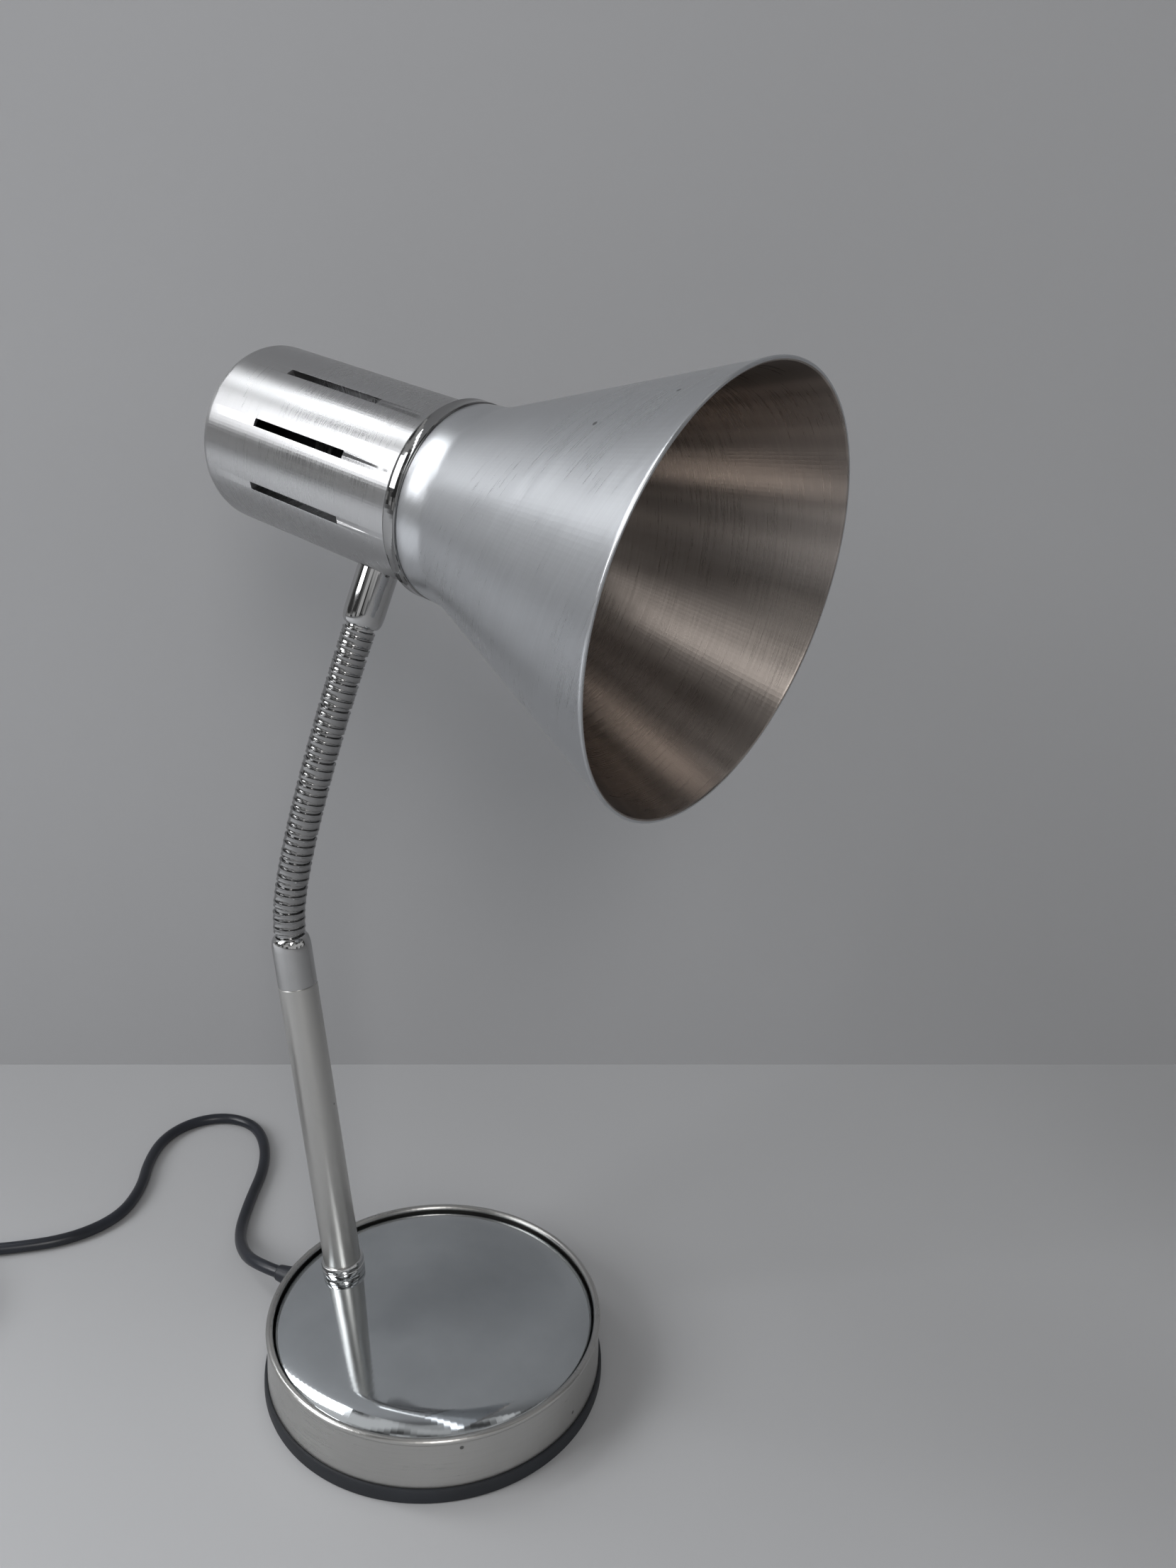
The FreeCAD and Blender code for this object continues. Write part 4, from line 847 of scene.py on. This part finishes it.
class LAMP_OT_cord(bpy.types.Operator):
    """Lays the mains cord from the gland to the plug"""

    bl_idname = "lamp.cord"
    bl_label = "Mains Cord"

    def execute(self, context):
        sizes = context.scene.lamp_sizes
        low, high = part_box("cord_gland")
        leaving = Vector((low.x, (low.y + high.y) / 2, (low.z + high.z) / 2))
        points = [leaving] + [Vector(point) for point in CORD_ROUTE] + coil_points()
        nothing_selected()
        bpy.ops.curve.primitive_nurbs_path_add(location=(0, 0, 0))
        cord = context.object
        cord.name = "cord"
        cord.data.splines.clear()
        spline = cord.data.splines.new("NURBS")
        spline.points.add(len(points) - 1)
        for control, point in zip(spline.points, points):
            control.co = (point.x, point.y, point.z, 1)
        spline.order_u = 3
        spline.use_endpoint_u = True
        spline.resolution_u = 6
        cord.data.dimensions = "3D"
        cord.data.bevel_depth = sizes.cord_diameter / 2
        cord.data.bevel_resolution = 5
        cord.data.use_fill_caps = True
        cord.data.use_path = False
        finish_piece(cord, "base", FINISHES["cord"], ("mains_cord", "cord_coil"))
        plug = finish_piece(
            smooth_copy("plug_body", "plug", 0.6 * MM),
            "base",
            FINISHES["black"],
            ("plug_body",),
        )
        pins = finish_piece(
            smooth_copy("plug_pins", "pins", 0.5 * MM),
            "base",
            FINISHES["brass"],
            ("plug_pins",),
        )
        tie = finish_piece(
            smooth_copy("cord_tie", "tie", 0.15 * MM),
            "base",
            FINISHES["black"],
            ("cord_tie",),
        )
        return {"FINISHED"}


class LAMP_OT_base(bpy.types.Operator):
    """Turns the foot, the skirt with its bead, and the dome"""

    bl_idname = "lamp.base"
    bl_label = "Base"

    def execute(self, context):
        foot = turn_outline("foot", millimetres(foot_outline()), closed=False)
        finish_piece(foot, "base", FINISHES["rubber"], ("rubber_foot",))
        bead = arc(BEAD_CENTRE, BEAD_R, -60, 240, 20)
        wall = [(68.7, 26.0), (SKIRT_FOOT_R - SKIRT_WALL, SEAT_HEIGHT), (SKIRT_FOOT_R, SEAT_HEIGHT)]
        skirt = turn_outline("skirt", millimetres(wall + bead))
        finish_piece(skirt, "base", FINISHES["skirt"], ("base_skirt",))
        dome = turn_outline("dome", millimetres(dome_outline(context)), smooth=50)
        finish_piece(dome, "base", FINISHES["dome"], ("base_dome",))
        low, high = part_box("cord_gland")
        middle = Vector((high.x, 0, (low.z + high.z) / 2))
        outward = placed(middle, Vector((-1, 0, 0)), Vector((0, 0, 1)))
        reach = (high.x - low.x) / MM
        gland = turn_outline(
            "gland",
            millimetres(
                [(0, 0), (4.6, 0), (5.6, reach - 13.5), (6.3, reach - 12.4), (6.4, reach - 10.4)]
                + [(5.6, reach - 9.6), (4.8, reach - 8.8), (3.5, reach - 0.4), (3.1, reach), (0, reach)]
            ),
            SMALL_STEPS,
            closed=False,
        )
        set_down(gland, outward)
        rounded_edges(gland, 0.25 * MM)
        finish_piece(gland, "base", FINISHES["black"], ("cord_gland",))
        for node in ("base_plate", "base_screws", "stem_nipple", "stem_washer", "stem_nut"):
            finish_node(node, FINISHES["plate"])
        finish_node("ballast", FINISHES["iron"])
        return {"FINISHED"}


def foot_outline():
    """The rubber tray in millimetres: underside, rounded wall with a lip, seat and floor."""
    seat_r = FOOT_R - 1.3
    outline = [(0, 0), (FOOT_R - 0.9, 0.0), (FOOT_R - 0.2, 0.3), (FOOT_R, 1.0)]
    outline += [(FOOT_R - 0.1, SEAT_HEIGHT), (FOOT_R - 0.25, FOOT_HEIGHT - 0.6)]
    outline += [(FOOT_R - 0.5, FOOT_HEIGHT - 0.1)]
    outline += [(FOOT_R - 0.8, FOOT_HEIGHT), (seat_r, FOOT_HEIGHT), (seat_r, SEAT_HEIGHT)]
    outline += [(TRAY_R, SEAT_HEIGHT), (TRAY_R, TRAY_FLOOR), (0, TRAY_FLOOR)]
    return outline


def dome_outline(context):
    """The dome's sheet in millimetres: a shallow cap, a rounder shoulder and an upright edge."""
    sizes = context.scene.lamp_sizes
    low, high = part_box("base_dome")
    edge_r = high.x / MM
    radius = sizes.dome_radius / MM
    top = sizes.dome_height / MM
    shoulder_r = 55.0
    corner = 1.5
    wall = 1.2
    slope = math.asin(shoulder_r / radius)
    slope_end = math.radians(28)
    span = edge_r - corner * (1 - math.sin(slope_end)) - shoulder_r
    bend = span / (math.sin(slope_end) - math.sin(slope))
    bend_r = shoulder_r - bend * math.sin(slope)
    bend_z = top - radius + (radius - bend) * math.cos(slope)
    edge_z = bend_z + (bend - corner) * math.cos(slope_end)
    turn_start = 90 - math.degrees(slope)
    turn_end = 90 - math.degrees(slope_end)
    cap = arc((0, top - radius), radius, 90, turn_start, 14)
    shoulder = arc((bend_r, bend_z), bend, turn_start, turn_end, 12)
    edge = arc((edge_r - corner, edge_z), corner, turn_end, 0, 6)
    inside = arc((bend_r, bend_z), bend - wall, turn_end, turn_start, 8)
    under = arc((0, top - radius), radius - wall, turn_start, 90, 8)
    upright = [(edge_r, low.z / MM), (edge_r - wall, low.z / MM), (edge_r - wall, edge_z)]
    return cap + shoulder[1:] + edge[1:] + upright + inside + under[1:]


class LAMP_OT_stem(bpy.types.Operator):
    """Turns the stem, its collar and the lower ferrule"""

    bl_idname = "lamp.stem"
    bl_label = "Stem"

    def execute(self, context):
        place = stem_frame(context)
        length = (NECK_FOOT - place.to_translation()).length / MM
        joint = length - FERRULE_LENGTH
        radius = context.scene.lamp_sizes.stem_radius / MM
        bore = radius - 1.2
        tube = [(bore, -0.05), (radius, -0.05), (radius, joint - 0.25)]
        tube += [(radius - 0.25, joint), (bore, joint)]
        stem = turn_outline("stem", millimetres(tube), TUBE_STEPS)
        set_down(stem, place)
        finish_piece(stem, "base", FINISHES["stem"], ("stem_tube",))
        collar = turn_outline(
            "collar",
            millimetres(
                [(radius, -0.1), (8.9, -0.1), (9.1, 0.25), (9.1, 2.1), (8.9, 2.35), (8.6, 2.5)]
                + [(8.6, 2.7), (8.9, 2.85), (9.1, 3.1), (9.1, 4.5), (8.9, 4.95), (8.5, 5.2), (radius, 5.25)]
            ),
            TUBE_STEPS,
        )
        set_down(collar, place)
        finish_piece(collar, "base", FINISHES["chrome"], ("stem_collar",))
        ferrule = turn_outline(
            "ferrule_low",
            millimetres(
                [(NECK_BORE_R, joint - 9), (bore - 0.1, joint - 9), (bore - 0.1, joint)]
                + [(radius - 0.25, joint), (radius, joint + 0.25)]
                + [(nose_r, length - past) for nose_r, past in reversed(FERRULE_NOSE)]
                + socket_mouth(length)
            ),
            TUBE_STEPS,
        )
        set_down(ferrule, place)
        finish_piece(ferrule, "base", FINISHES["ferrule"], ("lower_ferrule",))
        return {"FINISHED"}


def ball_end():
    """The round spigot below a joint, centred on it, in millimetres."""
    return arc((0, 0), BALL_R, -28, 8, 6)


def socket_mouth(length):
    """The hollow round the next piece's ball, in millimetres."""
    return arc((0, length), SOCKET_R, -8, -30, 5) + [(NECK_BORE_R, length - 5.2)]


def link_outline(length, radius, ribs):
    """One rigid length of the neck in millimetres: ball, rounded ribs with tight grooves, socket."""
    pitch = length / ribs
    outline = ball_end()
    for number in range(ribs):
        low = number * pitch + (LINK_GAP if number == 0 else RIB_GAP)
        high = (number + 1) * pitch - (LINK_GAP if number == ribs - 1 else RIB_GAP)
        outline += [(radius - inset, low + past) for inset, past in RIB_LOW]
        outline += [(radius - inset, high - past) for inset, past in RIB_HIGH]
    return outline + socket_mouth(length)


class LAMP_OT_neck(bpy.types.Operator):
    """Turns the gooseneck's links, ribbed like the real spring tube"""

    bl_idname = "lamp.neck"
    bl_label = "Gooseneck"

    def execute(self, context):
        sizes = context.scene.lamp_sizes
        length = (pivot(2) - pivot(1)).length / MM
        outline = link_outline(length, sizes.neck_radius / MM, sizes.ribs_per_link)
        pattern = turn_outline("link", millimetres(outline), SMALL_STEPS, smooth=45)
        for number in range(1, LINK_COUNT + 1):
            nothing_selected()
            link = pattern.copy()
            link.data = pattern.data.copy()
            link.name = "neck_%02d" % number
            link.data.name = link.name
            context.scene.collection.objects.link(link)
            low = pivot(number - 1)
            high = pivot(number)
            set_down(link, placed(low, high - low, Vector((1, 0, 0))))
            body = "link_%02d" % number
            finish_piece(link, body, FINISHES["neck"], ("neck_link_%02d" % number,))
        bpy.data.objects.remove(pattern)
        return {"FINISHED"}


def cut_slots(housing, context):
    """Cuts the three long vents on each side of the housing."""
    sizes = context.scene.lamp_sizes
    radius = sizes.housing_radius
    for angle in VENT_ANGLES:
        for side in (1, -1):
            nothing_selected()
            turn = math.radians(side * angle)
            place = Vector((radius * math.cos(turn), radius * math.sin(turn), VENT_MIDDLE * MM))
            bpy.ops.mesh.primitive_cube_add(size=1, location=place, rotation=(0, 0, turn))
            cutter = context.object
            cutter.scale = [length * MM for length in VENT_SIZE]
            only(housing)
            cut = housing.modifiers.new("Vent", "BOOLEAN")
            cut.operation = "DIFFERENCE"
            cut.solver = "EXACT"
            cut.object = cutter
            bpy.ops.object.modifier_apply(modifier=cut.name)
            bpy.data.objects.remove(cutter)


class LAMP_OT_head(bpy.types.Operator):
    """Turns the upper ferrule, the vented housing, the trim ring and the shade"""

    bl_idname = "lamp.head"
    bl_label = "Head"

    def execute(self, context):
        sizes = context.scene.lamp_sizes
        ferrule = turn_outline(
            "ferrule_high",
            millimetres(ball_end() + FERRULE_NOSE + [(8.0, FERRULE_REACH), (NECK_BORE_R, FERRULE_REACH)]),
            TUBE_STEPS,
        )
        set_down(ferrule, FERRULE_FRAME)
        finish_piece(ferrule, "head", FINISHES["ferrule"], ("upper_ferrule",))
        radius = sizes.housing_radius / MM
        bend = (radius - HOUSING_EDGE_R, HOUSING_REAR + HOUSING_EDGE_R)
        edge = arc(bend, HOUSING_EDGE_R, -90, 0, 14)
        inside = arc(bend, HOUSING_EDGE_R - HOUSING_WALL, 0, -90, 8)
        inner_r = radius - HOUSING_WALL
        inner_front = HOUSING_FRONT - HOUSING_WALL
        lip_r = radius - 2.4
        housing = turn_outline(
            "housing",
            millimetres(
                [(BUTTON_BORE_R, HOUSING_REAR)]
                + edge
                + [(radius, HOUSING_FRONT), (lip_r, HOUSING_FRONT)]
                + [(lip_r, inner_front), (inner_r, inner_front)]
                + inside
                + [(BUTTON_BORE_R, HOUSING_REAR + HOUSING_WALL)]
            ),
            HOUSING_STEPS,
        )
        cut_slots(housing, context)
        rounded_edges(housing, 0.14 * MM, angle=40)
        set_down(housing, HEAD_FRAME)
        finish_piece(housing, "head", FINISHES["housing"], ("lamp_housing",))
        ring = turn_outline(
            "ring",
            millimetres(
                [(34.6, RING_REAR), (36.3, RING_REAR), (36.8, 24.8), (37.0, 25.4), (36.75, 26.3)]
                + [(36.7, 29.4), (36.95, 30.1), (36.85, 30.45), (36.5, SEAM), (32.2, SEAM)]
                + [(32.2, HOUSING_FRONT), (34.6, HOUSING_FRONT)]
            ),
        )
        set_down(ring, HEAD_FRAME)
        finish_piece(ring, "head", FINISHES["ring"], ("trim_ring",))
        self.shade(context)
        self.lampholder(context)
        self.switch(context)
        return {"FINISHED"}

    def shade(self, context):
        """The shade's outside and lining, two materials on one turned sheet."""
        sizes = context.scene.lamp_sizes
        mouth = sizes.shade_mouth / MM
        outline = [(SHADE_BORE_R, SEAM), (35.9, SEAM), (36.3, 30.8), (36.5, 31.2)]
        outline += [(36.9, 34.5), (37.2, 38.5), (37.5, 42.0), (37.9, 43.8), (38.5, 45.5)]
        for inset, past in SHADE_LIP_OUTSIDE + SHADE_LIP_INSIDE:
            outline.append((mouth - inset, SHADE_FRONT - past))
        outline += [(37.4, 45.7), (36.8, 44.0), (36.2, 40.0), (35.5, 32.4)]
        outline += [(34.8, SEAM + 1.0), (SHADE_BORE_R, SEAM + 1.0)]
        shade = turn_outline("shade_cone", millimetres(outline), SHADE_STEPS)
        set_down(shade, HEAD_FRAME)
        finish_piece(shade, "head", FINISHES["shade"], ("shade",))
        shade.data.materials.append(FINISHES["lining"])
        for face in shade.data.polygons:
            local = HEAD_FRAME.inverted() @ face.center
            turned = (HEAD_FRAME.to_3x3().inverted() @ face.normal).normalized()
            inner = turned.x * local.x + turned.y * local.y < 0
            face.material_index = 1 if inner else 0

    def lampholder(self, context):
        """The lampholder, its clamp ring, the bulb and the finishes of the pieces that hold them."""
        for node, name, finish, slot in (
            ("lampholder", "holder", "black", "black_plastic"),
            ("holder_clamp", "clamp", "black", "black_plastic"),
            ("bulb_cap", "cap", "brass", "brass"),
        ):
            finish_piece(smooth_copy(node, name), "head", FINISHES[finish], (node,))
        for node in ("ferrule_nut", "holder_bracket", "bracket_screws"):
            finish_node(node, FINISHES["plate"])
        outline = [(0, 12.0), (12.0, 12.0), (12.0, 38.3), (13.2, 40.6), (15.6, 43.4), (18.4, 45.0)]
        outline += arc((0, BULB_CENTRE), BULB_R, -25, 90, 24)
        bulb = turn_outline("bulb", millimetres(outline), TUBE_STEPS, closed=False, smooth=60)
        set_down(bulb, HEAD_FRAME)
        finish_piece(bulb, "head", FINISHES["glass"], ("bulb_glass",))

    def switch(self, context):
        """The push button in the housing's rear."""
        for node, name, body, finish, slot in (
            ("switch_body", "switch", "head", "black", "black_plastic"),
            ("switch_nut", "switch_ring", "head", "chrome", "chrome"),
            ("switch_button", "button", "button", "black", "black_plastic"),
        ):
            finish_piece(smooth_copy(node, name), body, FINISHES[finish], (node,))


class LAMP_PT_panel(bpy.types.Panel):
    """Lists the lamp's pieces"""

    bl_idname = "LAMP_PT_panel"
    bl_label = "Desk Lamp"
    bl_space_type = "VIEW_3D"
    bl_region_type = "UI"
    bl_category = "Desk Lamp"

    def draw(self, context):
        for kind in STEPS:
            self.layout.operator(kind.bl_idname)
        sizes = context.scene.lamp_sizes
        for key in sizes.bl_rna.properties.keys():
            if key not in {"rna_type", "name"}:
                self.layout.prop(sizes, key)


STEPS = (
    LAMP_OT_finishes,
    LAMP_OT_stage,
    LAMP_OT_cord,
    LAMP_OT_base,
    LAMP_OT_stem,
    LAMP_OT_neck,
    LAMP_OT_head,
)
CLASSES = (LampSizes, LampColours) + STEPS + (LAMP_PT_panel,)


def register():
    for kind in CLASSES:
        bpy.utils.register_class(kind)
    bpy.types.Scene.lamp_sizes = bpy.props.PointerProperty(type=LampSizes)
    bpy.types.Scene.lamp_colours = bpy.props.PointerProperty(type=LampColours)


def unregister():
    del bpy.types.Scene.lamp_colours
    del bpy.types.Scene.lamp_sizes
    for kind in reversed(CLASSES):
        bpy.utils.unregister_class(kind)


def main():
    """Builds the lamp in order."""
    register()
    bpy.ops.lamp.finishes()
    bpy.ops.lamp.stage()
    bpy.ops.lamp.cord()
    bpy.ops.lamp.base()
    bpy.ops.lamp.stem()
    bpy.ops.lamp.neck()
    bpy.ops.lamp.head()
    nothing_selected()


if __name__ == "__main__":
    main()
